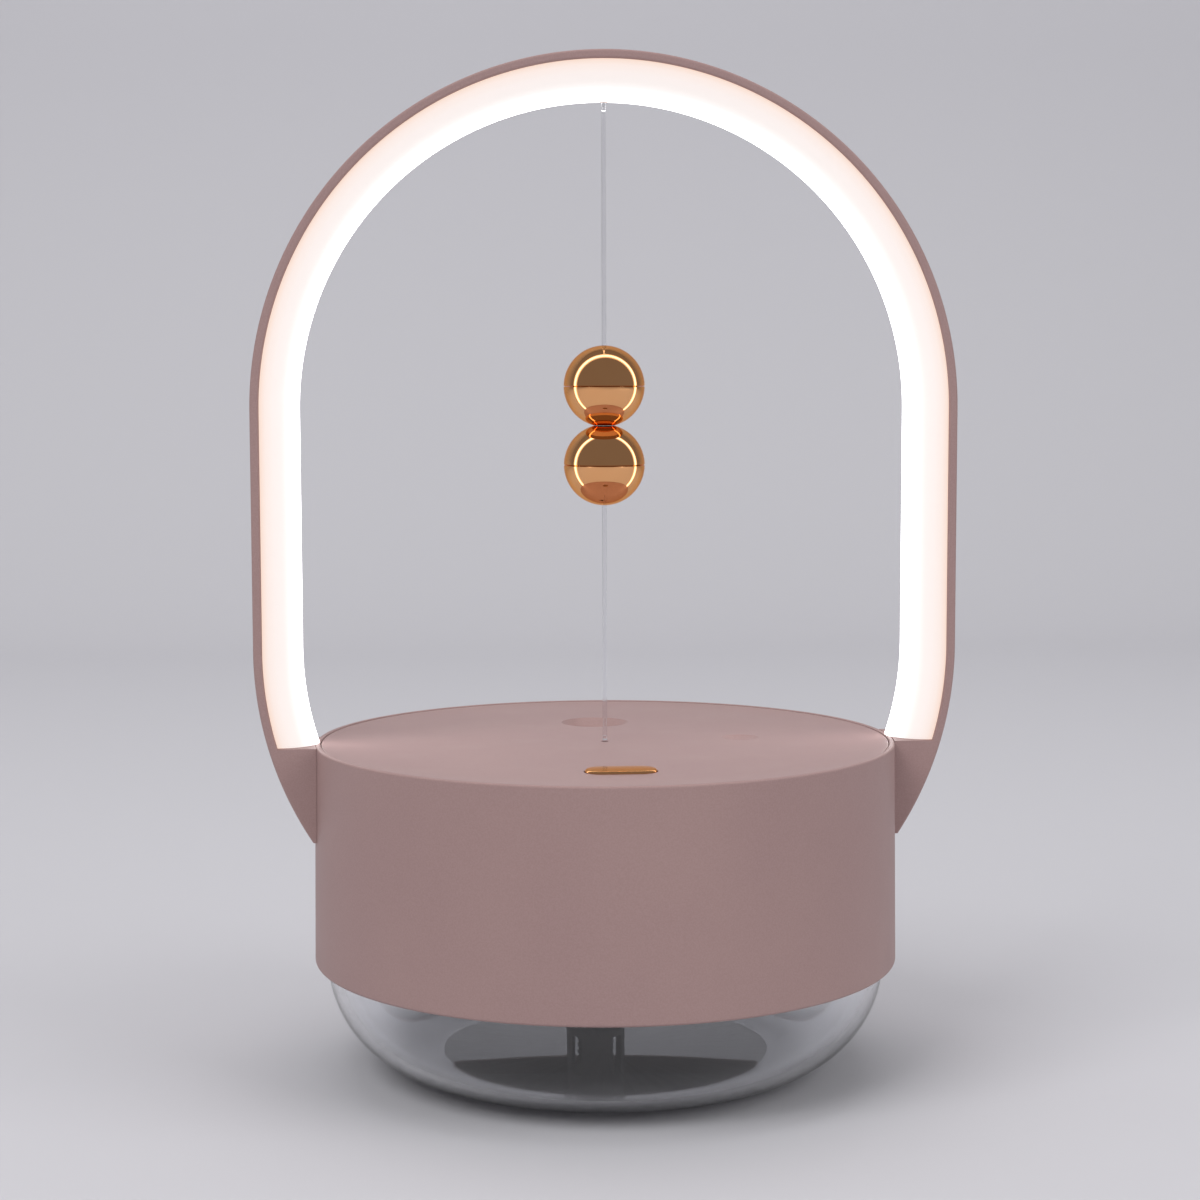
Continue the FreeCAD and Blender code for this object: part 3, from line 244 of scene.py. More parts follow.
finishes = {
    "body_pink": mouldedPlastic("satinPink", pinkLook),
    "tray_pink": mouldedPlastic("satinPinkTray", {**pinkLook, "rough": 0.46}),
    "cover_grey": mouldedPlastic("paleGreyPlastic", coverLook),
    "rose_gold": roseGold("roseGoldPlate", {
        "deep": rgb(236, 172, 116), "pale": rgb(243, 183, 128), "edge": rgb(246, 206, 170),
        "driftScale": 120.0, "wipeScale": 260.0, "stretch": (1.0, 1.0, 5.0), "rough": 0.035, "wiped": 0.05}),
    "tank_clear": clearPlastic("clearTank", {
        "tint": rgb(250, 251, 253), "ior": 1.49, "wipeScale": 60.0, "rough": 0.01, "wiped": 0.03}),
    "nylon": clearPlastic("clearNylon", {
        "tint": rgb(246, 246, 248), "ior": 1.53, "wipeScale": 900.0, "rough": 0.06, "wiped": 0.08}),
    "diffuser_milk": glowingAcrylic("milkyAcrylic", {
        "body": rgb(180, 174, 170), "strength": 5.0, "grainScale": 2400.0, "rough": 0.45,
        "glow": [
            (0.0, (0.118, 0.08, 0.06, 1)), (0.1, (0.122, 0.101, 0.092, 1)), (0.23, (0.126, 0.113, 0.109, 1)),
            (0.37, (0.129, 0.121, 0.117, 1)), (0.47, (0.146, 0.142, 0.14, 1)), (0.62, (0.2, 0.2, 0.2, 1)),
            (0.78, (0.5, 0.5, 0.5, 1)), (1.0, (1, 1, 1, 1)),
        ]}),
    "silicone": softMatte("whiteSilicone", {
        "dark": rgb(206, 206, 204), "bright": rgb(222, 222, 220),
        "grainScale": 900.0, "rough": 0.6, "bump": 0.1}),
    "steel": plainMetal("zincSteel", {
        "dark": rgb(150, 152, 156), "bright": rgb(196, 198, 202), "stretch": (1.0, 1.0, 6.0),
        "lineScale": 1500.0, "driftScale": 300.0, "rough": 0.32}),
    "spring_steel": plainMetal("springSteel", {
        "dark": rgb(120, 122, 126), "bright": rgb(180, 182, 186), "stretch": (1.0, 1.0, 1.0),
        "lineScale": 2500.0, "driftScale": 400.0, "rough": 0.28}),
    "board_green": softMatte("boardGreen", {
        "dark": rgb(18, 74, 44), "bright": rgb(28, 94, 58),
        "grainScale": 1400.0, "rough": 0.35, "bump": 0.08}),
    "component_black": softMatte("componentBlack", {
        "dark": rgb(24, 24, 26), "bright": rgb(40, 40, 42),
        "grainScale": 1600.0, "rough": 0.55, "bump": 0.15}),
    "led_white": softMatte("lightChip", {
        "dark": rgb(238, 226, 160), "bright": rgb(246, 238, 190),
        "grainScale": 1800.0, "rough": 0.4, "bump": 0.05}),
    "strip_white": softMatte("stripWhite", {
        "dark": rgb(224, 224, 220), "bright": rgb(238, 238, 234),
        "grainScale": 900.0, "rough": 0.5, "bump": 0.05}),
    "piezo_steel": plainMetal("piezoSteel", {
        "dark": rgb(168, 168, 164), "bright": rgb(206, 206, 202), "stretch": (1.0, 1.0, 1.0),
        "lineScale": 1800.0, "driftScale": 200.0, "rough": 0.22}),
    "cotton": softMatte("cottonWick", {
        "dark": rgb(214, 208, 196), "bright": rgb(240, 236, 228),
        "grainScale": 2600.0, "rough": 0.85, "bump": 0.6}),
    "magnet_nickel": plainMetal("nickelMagnet", {
        "dark": rgb(172, 172, 168), "bright": rgb(204, 204, 198), "stretch": (1.0, 1.0, 1.0),
        "lineScale": 1200.0, "driftScale": 200.0, "rough": 0.18}),
    "contact_brass": plainMetal("contactBrass", {
        "dark": rgb(176, 140, 72), "bright": rgb(214, 178, 104), "stretch": (6.0, 1.0, 1.0),
        "lineScale": 1800.0, "driftScale": 300.0, "rough": 0.25}),
}

for node in frame["nodes"].values():
    slot = node.material_slots[0]
    slot.material = finishes[slot.material.name.split(".")[0]]
print("finishes made:", len(finishes))

# Shapes, in millimetres until a mesh is made

bodyOf = {node: body for body, nodes in frame["record"]["behaviour"]["bodies"].items() for node in nodes}


def corners(name):
    # the low and the high corner of a CAD node's box
    low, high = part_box(name)
    return np.array(low) / mm, np.array(high) / mm


def halfSize(name):
    # half a CAD node's width, depth and height
    low, high = corners(name)
    return (high - low) / 2


def middleOf(name):
    # the middle of a CAD node's box
    low, high = corners(name)
    return (high + low) / 2


def bend(centre, radius, start, end, steps=12):
    # arc of a circle: centre + radius (cos a, sin a), a from start to end in degrees
    turn = np.radians(np.linspace(start, end, steps + 1))
    return np.array(centre) + radius * np.stack([np.cos(turn), np.sin(turn)], axis=1)


def run(start, end, inset=0.25):
    # straight stretch, with a point a little in from each end so that the shading turns only there; the two
    # points are the inset or 0.3 of the stretch from the ends, whichever is less
    start, end = np.array(start, float), np.array(end, float)
    share = min(inset / max(np.linalg.norm(end - start), inset), 0.3)
    return start + (end - start) * np.array([[0], [share], [1 - share], [1]])


def post(radius, low, high):
    # profile of a plain round post between two heights
    return np.array([(0, low), (radius, low), (radius, high), (0, high)])


def grid(x, y, z):
    # points in rows and columns; a coordinate may also be one row or one column, which is then repeated
    return np.stack(np.broadcast_arrays(x, y, z), axis=-1)


def lathe(profile, centre=(0.0, 0.0), segments=32):
    # surface of revolution: x = cx + r cos t, y = cy + r sin t, z as in the profile of (r, z) points
    turn = np.linspace(0, 2 * math.pi, segments, endpoint=False)
    r, z = np.hsplit(profile, 2)
    return grid(centre[0] + r * np.cos(turn), centre[1] + r * np.sin(turn), z)


def pillRows(rows, y=0.0, steps=24):
    # pill outlines: x = side half + r cos t, y = middle + r sin t, one for each row of (half, r, z)
    half, r, z = np.hsplit(rows, 3)
    turn = np.linspace(0, 2 * math.pi, 4 * steps, endpoint=False) + math.pi / (4 * steps)
    side = np.sign(np.cos(turn))
    return grid(side * half + r * np.cos(turn), y + r * np.sin(turn), z)


def pillPost(length, width, low, high, y=0.0, steps=24):
    # a plain pill-shaped post between two heights
    half, r = (length - width) / 2, width / 2
    rows = np.array([(half, 0, low), (half, r, low), (half, r, high), (half, 0, high)])
    return pillRows(rows, y, steps)


def gridFaces(points, closeRows=False, closeColumns=True):
    # quads between neighbouring points; where rows or columns close, the last meets the first
    rows, columns = points.shape[:2]
    index = np.arange(rows * columns).reshape(rows, columns)
    right, above = np.roll(index, -1, axis=1), np.roll(index, -1, axis=0)
    quads = np.stack([index, right, np.roll(above, -1, axis=1), above], axis=-1)
    if not closeRows:
        quads = quads[:-1]
    if not closeColumns:
        quads = quads[:, :-1]
    return quads.reshape(-1, 4).tolist(), index


def makeMesh(points, closeRows=False, capEnds=False, across=None):
    # rows and columns of points become a closed mesh
    faces, index = gridFaces(points, closeRows)
    if capEnds:
        faces += [index[0].tolist(), index[-1].tolist()]
    mesh = bpy.data.meshes.new("surface")
    mesh.from_pydata((points.reshape(-1, 3) * mm).tolist(), [], faces)
    if across is not None:
        share = mesh.attributes.new("across", "FLOAT", "POINT")
        share.data.foreach_set("value", np.broadcast_to(across, index.shape).reshape(-1))
    weld(mesh, gap=0.0002 * mm, sliver=0.00001 * mm)
    return mesh


def weld(mesh, gap, sliver):
    # points closer than the gap are merged, faces thinner than a sliver go, and the rest are turned outwards
    work = bmesh.new()
    work.from_mesh(mesh)
    bmesh.ops.remove_doubles(work, verts=work.verts, dist=gap)
    bmesh.ops.dissolve_degenerate(work, edges=work.edges, dist=sliver)
    bmesh.ops.recalc_face_normals(work, faces=work.faces)
    work.to_mesh(mesh)
    work.free()


def addObject(name, data):
    thing = bpy.data.objects.new(name, data)
    bpy.context.scene.collection.objects.link(thing)
    return thing


def addPiece(name, data, slotName, node):
    # a finished piece that takes the place of a CAD node and rides on its body
    data.name = name
    data.materials.clear()
    data.materials.append(finishes[slotName])
    piece = addObject(name, data)
    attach(piece, bodyOf[node])
    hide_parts(node)
    return piece


def addSurface(name, mesh, slotName, node, crease=30.0):
    # smooth shading, with creases where faces meet at more than an angle in degrees
    mesh.shade_smooth()
    mesh.set_sharp_from_angle(angle=math.radians(crease))
    addPiece(name, mesh, slotName, node)


def cutAway(mesh, tools):
    # one exact Boolean per tool, taken off the mesh; the working objects are removed afterwards
    piece = addObject("work", mesh)
    cutters = [addObject("cutter", tool) for tool in tools]
    for cutter in cutters:
        modifier = piece.modifiers.new("cut", "BOOLEAN")
        modifier.operation = "DIFFERENCE"
        modifier.solver = "EXACT"
        modifier.object = cutter
    shown = piece.evaluated_get(bpy.context.evaluated_depsgraph_get())
    result = bpy.data.meshes.new_from_object(shown)
    for used in [piece, *cutters]:
        bpy.data.objects.remove(used)
    return result


# Clear tank: straight wall, round corner, flat floor, rounded lip

tankShape = {"corner": 23.5, "wall": 2.0, "floor": 2.2, "cornerSteps": 40, "segments": 256}


def makeTank(shape):
    # turned profile: out under the floor, up the outside, over the lip, down the inside, back over the floor
    corner, wall, floor, steps = shape["corner"], shape["wall"], shape["floor"], shape["cornerSteps"]
    outer, top = halfSize("tank_bowl")[0], corners("tank_bowl")[1][2]
    flat, lip = outer - corner, wall / 2
    profile = np.concatenate([
        run((0, 0), (flat, 0)),
        bend((flat, corner), corner, -90, 0, steps),
        run((outer, corner), (outer, top - lip)),
        bend((outer - lip, top - lip), lip, 0, 180),
        run((outer - wall, top - lip), (outer - wall, floor + corner - wall)),
        bend((flat, floor + corner - wall), corner - wall, 0, -90, steps),
        run((flat, floor), (0, floor)),
    ])
    addSurface("clearTank", makeMesh(lathe(profile, segments=shape["segments"])), "tank_clear", "tank_bowl")


makeTank(tankShape)

# Drum: drafted wall, thin lip over the tray's ledge, inlet slot at the back

drumShape = {
    "wall": 2.2, "draft": 0.5, "lip": 1.1, "ledge": 2.45, "segments": 288,
    "rimRound": 0.5, "lipRound": 0.2, "lipSteps": 6, "skirtRound": 0.6,
    "slotLength": 9.7, "slotHeight": 4.0, "slotStart": -5.0, "slotEnd": 4.0,    # start and end from the rim
}
skirtZ, rimZ = [corner[2] for corner in corners("body_shell")]


def drumRadius(z):
    # the drum's outer face: its radius falls evenly with height
    return halfSize("body_shell")[0] - drumShape["draft"] * (z - skirtZ) / (rimZ - skirtZ)


def makeDrum(shape):
    # turned profile: the skirt's edge, up the outside, over the lip, out along the ledge and down the inside
    foot, rim, ledge = drumRadius(skirtZ), drumRadius(rimZ), rimZ - shape["ledge"]
    lip, inside, skirtInside = rim - shape["lip"], drumRadius(ledge) - shape["wall"], foot - shape["wall"]
    rimRound, lipRound, skirtRound = shape["rimRound"], shape["lipRound"], shape["skirtRound"]
    profile = np.concatenate([
        run((skirtInside, skirtZ), (foot - skirtRound, skirtZ)),
        bend((foot - skirtRound, skirtZ + skirtRound), skirtRound, -90, 0),
        run((foot, skirtZ + skirtRound), (rim, rimZ - rimRound)),
        bend((rim - rimRound, rimZ - rimRound), rimRound, 0, 90),
        run((rim - rimRound, rimZ), (lip + lipRound, rimZ), inset=0.1),
        bend((lip + lipRound, rimZ - lipRound), lipRound, 90, 180, shape["lipSteps"]),
        run((lip, rimZ - lipRound), (lip, ledge)),
        run((lip, ledge), (inside, ledge)),
        run((inside, ledge), (skirtInside, skirtZ)),
    ])
    wall = makeMesh(lathe(profile, segments=shape["segments"]), closeRows=True)
    # the slot's post is laid down, so that it runs out through the back of the wall
    slot = pillPost(shape["slotLength"], shape["slotHeight"], shape["slotStart"], shape["slotEnd"])
    slot = slot[..., [0, 2, 1]] + np.array([0, rim, middleOf("power_inlet")[2]])
    addSurface("drumWall", cutAway(wall, [makeMesh(slot)]), "body_pink", "body_shell")


makeDrum(drumShape)

# Tray: flat middle, dished edge, mist funnel, dimple, button slot and string hole

trayShape = {
    "thick": 1.8, "drop": 0.6, "segments": 288,
    "slopeWidth": 9.0, "slopeSteps": 30, "edgeRound": 0.15, "edgeSteps": 5,
    "mistBack": 28.0, "mouth": 7.3, "throat": 4.2, "coneDepth": 3.1, "funnelDepth": 6.0,
    "funnelWall": 1.4, "funnelSegments": 96, "joint": 0.01,    # the funnel's gap to the plate
    "dimple": (28.8, 2.8), "dimpleRadius": 4.0, "dimpleDepth": 0.9, "dimpleSteps": 90, "dimpleSegments": 128,
    "slotLength": 14.4, "slotWidth": 7.4, "slotSteps": 16, "stringHole": 0.8,
    "past": 1.0,    # how far the tools reach beyond the plate
}
trayTop = rimZ - trayShape["drop"]
trayUnder = trayTop - trayShape["thick"]


def funnelRadius(z, shape):
    # the funnel's inside: a straight throat up to the neck, then a cone that widens evenly to the mouth
    neck = trayTop - shape["coneDepth"]
    slant = (shape["mouth"] - shape["throat"]) / shape["coneDepth"]
    return shape["throat"] + slant * max(z - neck, 0.0)


def makeTrayPlate(shape):
    # turned profile: the flat, an arc that starts level and rises to the edge, and back along the underside
    edge, high = halfSize("top_tray")[0], corners("top_tray")[1][2]
    rise, width, edgeRound = high - trayTop, shape["slopeWidth"], shape["edgeRound"]
    sweep = (width ** 2 + rise ** 2) / (2 * rise)
    steep = math.degrees(math.asin(width / sweep))
    profile = np.concatenate([
        run((0, trayTop), (edge - width, trayTop), inset=1.5),
        bend((edge - width, trayTop + sweep), sweep, -90, -90 + steep, shape["slopeSteps"])[:-1],
        bend((edge - edgeRound, high - edgeRound), edgeRound, 90 + steep, 0, shape["edgeSteps"]),
        run((edge, high - edgeRound), (edge, trayUnder)),
        run((edge, trayUnder), (0, trayUnder), inset=1.0),
    ])
    plate = makeMesh(lathe(profile, segments=shape["segments"]))
    above, below = trayTop + shape["past"], trayUnder - shape["past"]
    neck, deep, throat = trayTop - shape["coneDepth"], trayTop - shape["funnelDepth"], shape["throat"]
    mouth = funnelRadius(above, shape)
    cone = np.array([(0, above), (mouth, above), (throat, neck), (throat, deep), (0, deep)])
    ball = (shape["dimpleRadius"] ** 2 + shape["dimpleDepth"] ** 2) / (2 * shape["dimpleDepth"])
    dish = bend((0, trayTop - shape["dimpleDepth"] + ball), ball, -90, 90, shape["dimpleSteps"])
    slot = pillPost(shape["slotLength"], shape["slotWidth"], below, above, middleOf("button_cap")[1],
                    shape["slotSteps"])
    tools = [
        makeMesh(lathe(cone, (0, shape["mistBack"]), shape["funnelSegments"])),
        makeMesh(lathe(dish, shape["dimple"], shape["dimpleSegments"])),
        makeMesh(lathe(post(shape["stringHole"], below, above))),
        makeMesh(slot),
    ]
    addSurface("trayPlate", cutAway(plate, tools), "tray_pink", "top_tray", crease=20.0)


def makeFunnel(shape):
    # closed turned profile of an even wall round the funnel's inside, below the plate
    neck, deep, throat = trayTop - shape["coneDepth"], trayTop - shape["funnelDepth"], shape["throat"]
    wall, join = shape["funnelWall"], trayUnder - shape["joint"]
    inside = funnelRadius(join, shape)
    ring = [(inside, join), (throat, neck), (throat, deep), (throat + wall, deep), (throat + wall, neck),
            (inside + wall, join), (inside, join)]
    profile = np.concatenate([run(start, end) for start, end in zip(ring, ring[1:])])
    mesh = makeMesh(lathe(profile, (0, shape["mistBack"]), shape["funnelSegments"]), closeRows=True)
    addSurface("mistFunnel", mesh, "tray_pink", "top_tray")


makeTrayPlate(trayShape)
makeFunnel(trayShape)

# Light hoop: a band with two gusset feet, and the milky half-round lining

hoopShape = {
    "lowCentre": 19.7, "highCentre": 68.4, "ledge": 0.1, "footDrop": 19.5,    # up from the rim, then down
    "lowSteps": 29, "sideSteps": 11, "archSteps": 119, "footSteps": 39,
    "wall": 1.8, "edgeRound": 0.5, "edgeSteps": 8, "faceSteps": 12, "sideInset": 0.1,
    "footTip": 0.01, "drumGap": 0.05,
    "liningReach": 7.85, "liningWall": 1.4, "liningSkin": 0.05, "liningSteps": 48, "stringHole": 0.8,
}


def hoopPath(radius, y, endZ, shape):
    # a section of (distance from the hoop's centre, y) points, carried up one side, over the arch and down:
    # level slices of the lower arcs, x = sqrt(d d - h h), then x = d, then d turned round the upper centre
    lowCentre, highCentre = rimZ + shape["lowCentre"], rimZ + shape["highCentre"]
    low = np.linspace(endZ, lowCentre, shape["lowSteps"] + 1)[:, None]
    side = np.linspace(lowCentre, highCentre, shape["sideSteps"] + 1)[1:-1, None]
    arch = np.linspace(0, math.pi, shape["archSteps"] + 1)[:, None]
    lowX = np.sqrt(radius ** 2 - (lowCentre - low) ** 2)
    x = np.concatenate([lowX, radius + 0 * side, radius * np.cos(arch), -radius + 0 * side, -lowX[::-1]])
    lowZ, sideZ, archZ = low + 0 * radius, side + 0 * radius, highCentre + radius * np.sin(arch)
    z = np.concatenate([lowZ, sideZ, archZ, sideZ[::-1], lowZ[::-1]])
    return grid(x, y, z)


def bandSection(half, shape):
    # half of it runs along the inner face, round its edge and over the side to the outer face, and the other
    # half is the same, turned half round; a point's share is 0 on the inner face and 1 on the outer one, and
    # its offset is how far it lies outwards from there
    edge, inset = shape["edgeRound"], shape["sideInset"]
    faceY = np.concatenate([[edge - half, 2 * edge - half],
                            np.linspace(3 * edge - half, half - 3 * edge, shape["faceSteps"] + 1),
                            [half - 2 * edge, half - edge]])
    arcOffset, arcY = bend((edge, half - edge), edge, 180, 90, shape["edgeSteps"])[1:].T
    offset = np.concatenate([0 * faceY, arcOffset, [edge + inset, -edge - inset], -arcOffset[::-1]])
    y = np.concatenate([faceY, arcY, [half, half], arcY[::-1]])
    share = np.repeat([0, 1], [len(faceY) + len(arcY) + 1, len(arcY) + 1])
    return np.append(share, 1 - share), np.append(offset, -offset), np.append(y, -y)


def makeHoopBand(shape):
    # the section goes along the hoop, and into each foot as slices from the drum's face to the hoop's edge
    outer, half = halfSize("hoop_frame")[:2]
    share, offset, y = bandSection(half, shape)
    lowCentre, ledgeZ = rimZ + shape["lowCentre"], rimZ - shape["ledge"]
    band = hoopPath(outer - shape["wall"] * (1 - share) + offset, y, ledgeZ, shape)
    z = np.linspace(rimZ - shape["footDrop"], ledgeZ, shape["footSteps"] + 1)[:, None]
    near = np.sqrt((drumRadius(z) + shape["drumGap"]) ** 2 - y ** 2)
    far = np.sqrt(outer ** 2 - (lowCentre - z) ** 2)
    x = np.maximum(near + (far - near + offset) * share, near + shape["footTip"] * share)
    foot = grid(x, y, z)
    otherFoot = foot[::-1] * np.array([-1, 1, 1])
    mesh = makeMesh(np.concatenate([foot, band, otherFoot]), capEnds=True)
    addSurface("hoopBand", mesh, "body_pink", "hoop_frame")


def makeHoopLining(shape):
    # half ellipse, d = base - reach sin t and y = half cos t, hollow, with its flat side against the band
    low, high = corners("hoop_diffuser")
    base, half = halfSize("hoop_diffuser")[:2]
    reach, wall, skin = shape["liningReach"], shape["liningWall"], shape["liningSkin"]
    turn = np.linspace(0, math.pi, shape["liningSteps"] + 1)
    back = turn[::-1]
    distance = np.append(base - reach * np.sin(turn), base - skin - (reach - wall) * np.sin(back))
    y = np.append(half * np.cos(turn), (half - wall) * np.cos(back))
    across = np.append(1 - np.abs(np.linspace(-1, 1, len(turn))), 0 * back)
    lining = makeMesh(hoopPath(distance, y, low[2], shape), capEnds=True, across=across)
    hole, crest = shape["stringHole"], high[2] - reach
    string = makeMesh(lathe(post(hole, crest - reach / 2, high[2] + hole)))
    addSurface("hoopLining", cutAway(lining, [string]), "diffuser_milk", "hoop_diffuser", crease=50.0)


makeHoopBand(hoopShape)
makeHoopLining(hoopShape)

# Balls: two half shells each, chamfered at the seam; a string goes in at one pole, and the other pole is flat

ballShape = {
    "radius": 8.35, "wall": 1.2, "seamGap": 0.06, "chamfer": 0.12, "flat": 2.2, "hole": 0.5,
    "outerSteps": 40, "innerSteps": 24, "segments": 128,
}


def makeBallHalf(name, node, shape, middle, up, holed):
    # turned profile: arc from the seam to the pole, its hole or flat, and the inner arc back to the seam
    radius, inner = shape["radius"], shape["radius"] - shape["wall"]
    seam, chamfer = shape["seamGap"] / 2, shape["chamfer"]
    stop = shape["hole"] if holed else shape["flat"]
    start = math.degrees(math.asin((seam + chamfer) / radius))
    outerEnd = math.degrees(math.acos(stop / radius))
    innerEnd = math.degrees(math.acos(stop / inner)) if holed else 90.0
    innerStart = math.degrees(math.asin(seam / inner))
    outside = bend((0, 0), radius, start, outerEnd, shape["outerSteps"])
    flat = [] if holed else [run(outside[-1], (0, outside[-1][1]), inset=0.1)]
    profile = np.concatenate([
        outside,
        *flat,
        bend((0, 0), inner, innerEnd, innerStart, shape["innerSteps"]),
        run((inner, seam), (radius - chamfer, seam), inset=0.1),
        run((radius - chamfer, seam), outside[0], inset=0.03),
    ])
    placed = profile * np.array([1, up]) + np.array([0, middle])
    mesh = makeMesh(lathe(placed, segments=shape["segments"]), closeRows=holed)
    addSurface(name, mesh, "rose_gold", node)


for ball, holedSide in (("upper", "top"), ("lower", "bottom")):
    ballMiddle = corners(f"{ball}_ball_top")[0][2] - ballShape["seamGap"] / 2
    for side, up in (("top", 1), ("bottom", -1)):
        makeBallHalf(f"{ball}Ball{side.title()}", f"{ball}_ball_{side}", ballShape, ballMiddle, up,
                     side == holedSide)

# Button: stem, retaining flange, and the pill with its rounded edge and low crown

buttonShape = {
    "length": 14.0, "width": 7.0, "flange": 1.0, "gap": 0.05, "stem": 1.6, "spare": 0.2,
    "edgeRound": 0.6, "edgeSteps": 8, "crown": 0.1, "crownSteps": 11,
}


def makeButton(shape):
    # pill outlines, from a point under the stem up to the crown's ridge; the crown rises as 1 - (1 - s) ** 2
    low, high = corners("button_cap")
    under = trayUnder - shape["gap"]
    half, r = (shape["length"] - shape["width"]) / 2, shape["width"] / 2
    edge, flange, spare = shape["edgeRound"], shape["flange"], shape["spare"]
    top = high[2] - shape["crown"]
    slope = np.linspace(0, 1, shape["crownSteps"] + 1)[1:]
    stem = [(0, low[2]), (shape["stem"], low[2]), (shape["stem"], under - flange)]
    outline = np.concatenate([
        [(r + flange, under - flange), (r + flange, under), (r, under)],
        [(r, under + spare), (r, top - edge - spare)],
        bend((r - edge, top - edge), edge, 0, 90, shape["edgeSteps"]),
        np.stack([(r - edge) * (1 - slope), top + shape["crown"] * (1 - (1 - slope) ** 2)], axis=1),
    ])
    rows = np.concatenate([np.insert(stem, 0, 0.0, axis=1), np.insert(outline, 0, half, axis=1)])
    addSurface("buttonPill", makeMesh(pillRows(rows, middleOf("button_cap")[1])), "rose_gold", "button_cap")


makeButton(buttonShape)

# Strings and knots

stringShape = {"points": 4, "bevelSteps": 6, "knotSteps": 16}


def makeString(name, node, exitZ, farZ, shape):
    # a straight clear line between two heights on the lamp's axis
    radius = halfSize(node)[0]
    curve = bpy.data.curves.new(name, "CURVE")
    curve.dimensions = "3D"
    curve.bevel_depth = radius * mm
    curve.bevel_resolution = shape["bevelSteps"]
    curve.use_fill_caps = True
    spline = curve.splines.new("NURBS")
    spline.points.add(shape["points"] - 1)
    for point, z in zip(spline.points, np.linspace(exitZ, farZ, shape["points"])):
        point.co = (0, 0, z * mm, 1)
    spline.order_u = 3
    spline.use_endpoint_u = True
    string = addPiece(name, curve, "nylon", node)
    2 * radius * mm


def makeKnots(shape):
    # turned profiles: each knot is a small ball, the lower one with the string's end below it
    knot, string = halfSize("upper_knot")[2], halfSize("upper_string")[0]
    upper = bend((0, middleOf("upper_knot")[2]), knot, -90, 90, shape["knotSteps"])
    addSurface("upperKnot", makeMesh(lathe(upper)), "nylon", "upper_knot")
    low, high = corners("lower_knot")
    middle = high[2] - knot
    leave = math.degrees(math.acos(string / knot))
    lower = np.concatenate([
        run((0, low[2]), (string, low[2]), inset=0.1),
        run((string, low[2]), (string, middle - knot)),
        bend((0, middle), knot, -leave, 90, shape["knotSteps"]),
    ])
    addSurface("lowerKnot", makeMesh(lathe(lower)), "nylon", "lower_knot")


upperLow, upperHigh = corners("upper_string")
lowerLow, lowerHigh = corners("lower_string")
makeString("upperString", "upper_string", upperHigh[2], upperLow[2], stringShape)
makeString("lowerString", "lower_string", lowerLow[2], lowerHigh[2], stringShape)
makeKnots(stringShape)
print("pieces made")

# Stage, lights and camera, in metres

stageLook = {
    "colour": rgb(206, 205, 210), "half": 4.0, "back": 0.75, "bend": 0.35, "bendSteps": 23, "height": 1.6,
}


def makeStage(look):
    # a profile of (y, z) points that runs flat under the lamp and bends up behind it on a quarter circle,
    # drawn out to both sides
    half, back, curl = look["half"], look["back"], look["bend"]
    arc = bend((back, curl), curl, -90, 0, look["bendSteps"])
    y, z = np.hsplit(np.concatenate([[(-half, 0)], arc, [(back + curl, look["height"])]]), 2)
    points = grid(np.array([-half, half]), y, z)
    mesh = bpy.data.meshes.new("studioSheet")
    mesh.from_pydata(points.reshape(-1, 3).tolist(), [], gridFaces(points, closeColumns=False)[0])
    mesh.shade_smooth()
    fixed = {"Roughness": 0.9, "Base Color": look["colour"], "Specular IOR Level": 0.2}
    mesh.materials.append(Finish("stagePaper", fixed).material)
    addObject("studioSheet", mesh)


lightLooks = {
    "keyLight": {"place": (-0.9, -0.9, 1.3), "target": (0, 0, 0.1), "size": 1.0, "power": 14.0},
    "fillLight": {"place": (1.1, -0.7, 0.8), "target": (0, 0, 0.1), "size": 1.0, "power": 7.0},
    "topLight": {"place": (0.0, 0.2, 1.5), "target": (0, 0, 0), "size": 1.2, "power": 6.5},
}


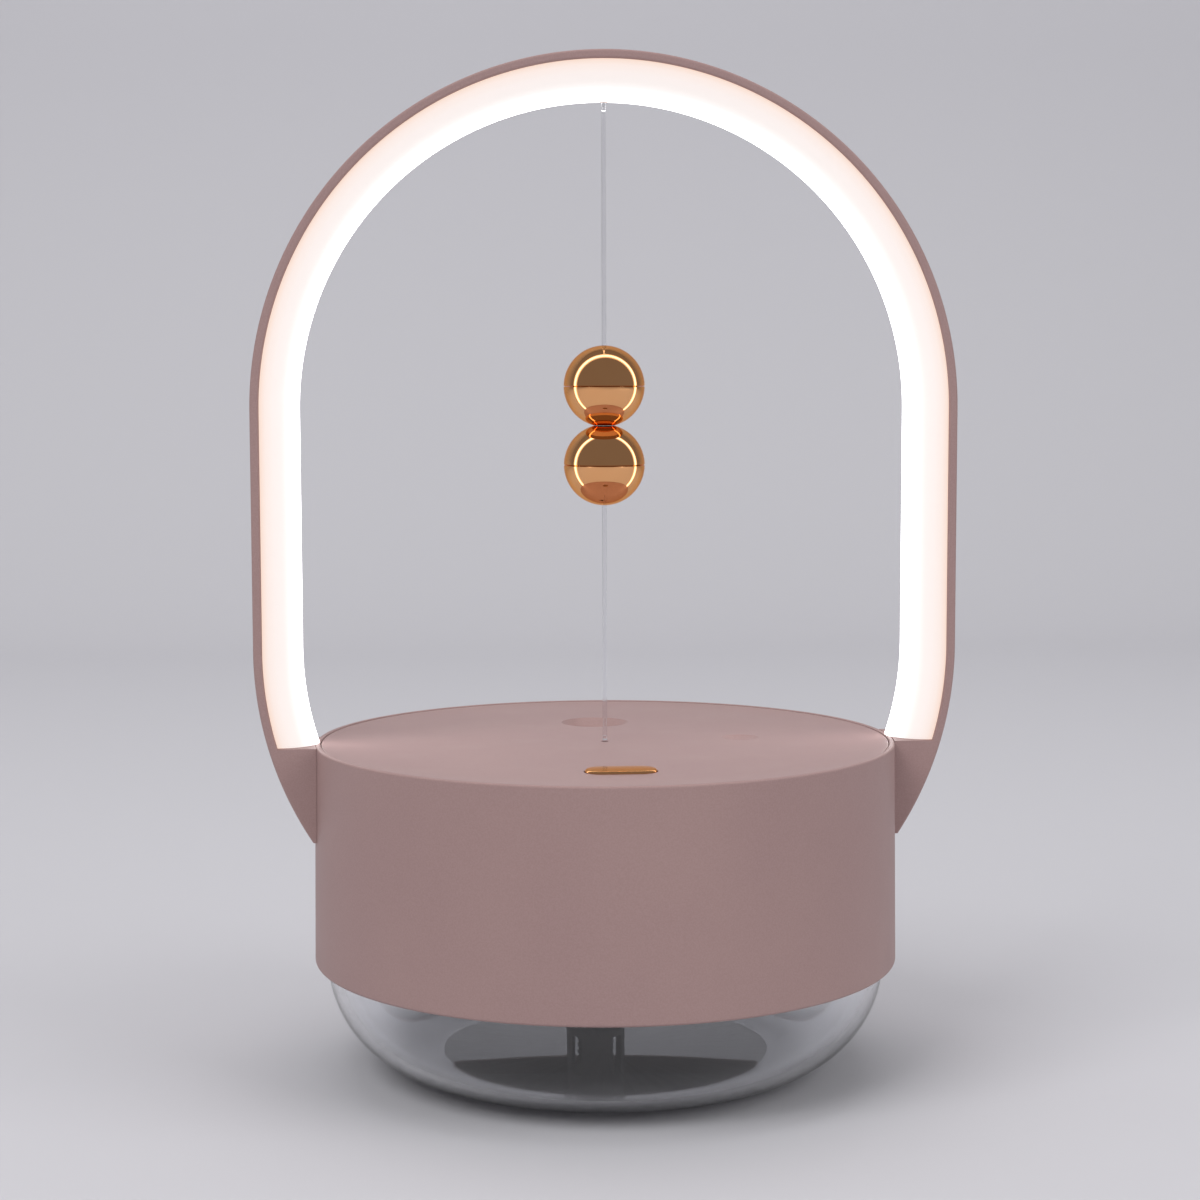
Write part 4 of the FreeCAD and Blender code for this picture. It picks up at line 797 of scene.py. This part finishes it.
def addAreaLight(name, look):
    # a square light that faces its target and isn't mirrored in the metal
    data = bpy.data.lights.new(name, "AREA")
    data.shape = "SQUARE"
    data.size = look["size"]
    data.energy = look["power"]
    light = addObject(name, data)
    light.location = look["place"]
    aim = Vector(look["target"]) - Vector(look["place"])
    light.rotation_euler = aim.to_track_quat("-Z", "Y").to_euler()
    light.visible_glossy = False


class Sky(Finish):
    # the world round its Background shader, written with a material's methods
    def __init__(self, name, strength):
        world = bpy.data.worlds.new(name)
        world.use_nodes = True
        self.tree = world.node_tree
        self.shader = self.tree.nodes["Background"]
        self.shader.inputs["Strength"].default_value = strength
        bpy.context.scene.world = world


skyLook = {"strength": 0.35, "light": (1.0, 1.0, 1.0, 1.0), "seen": stageLook["colour"]}


def makeSky(look):
    # it lights the lamp as one colour; the camera, metal and glass see the sheet's own colour in it, which
    # hides the sheet's edges
    sky = Sky("studio", look["strength"])
    straight, mirrored, through = [sky.add("ShaderNodeLightPath", output=f"Is {kind} Ray")
                                   for kind in ("Camera", "Glossy", "Transmission")]
    sky.feed("Color", sky.blend(straight + mirrored + through, look["light"], look["seen"]))


# where the camera stands, the turns of its view in radians, its lens, and the nearest distance it shows
cameraLook = {
    "place": (-0.041, -0.5117, 0.1458),
    "heading": -0.0781,
    "down": 0.0939,
    "roll": -0.0023,
    "lens": 74.6,
    "sensor": 36.0,
    "nearest": 0.01,
}


def makeCamera(look):
    # it looks straight down at first, is rolled, then tipped up to nearly level, then turned to its heading
    data = bpy.data.cameras.new("camera")
    data.lens = look["lens"]
    data.sensor_width = look["sensor"]
    data.clip_start = look["nearest"]
    camera = addObject("camera", data)
    tip = math.pi / 2 - look["down"]
    turned = (Matrix.Rotation(look["heading"], 4, "Z") @ Matrix.Rotation(tip, 4, "X")
              @ Matrix.Rotation(look["roll"], 4, "Z"))
    camera.rotation_euler = turned.to_euler()
    camera.location = look["place"]
    bpy.context.scene.camera = camera


makeStage(stageLook)
for lightName, lightLook in lightLooks.items():
    addAreaLight(lightName, lightLook)
makeSky(skyLook)
makeCamera(cameraLook)
bpy.context.scene.view_settings.view_transform = "Standard"
print("stage, lights and camera set")
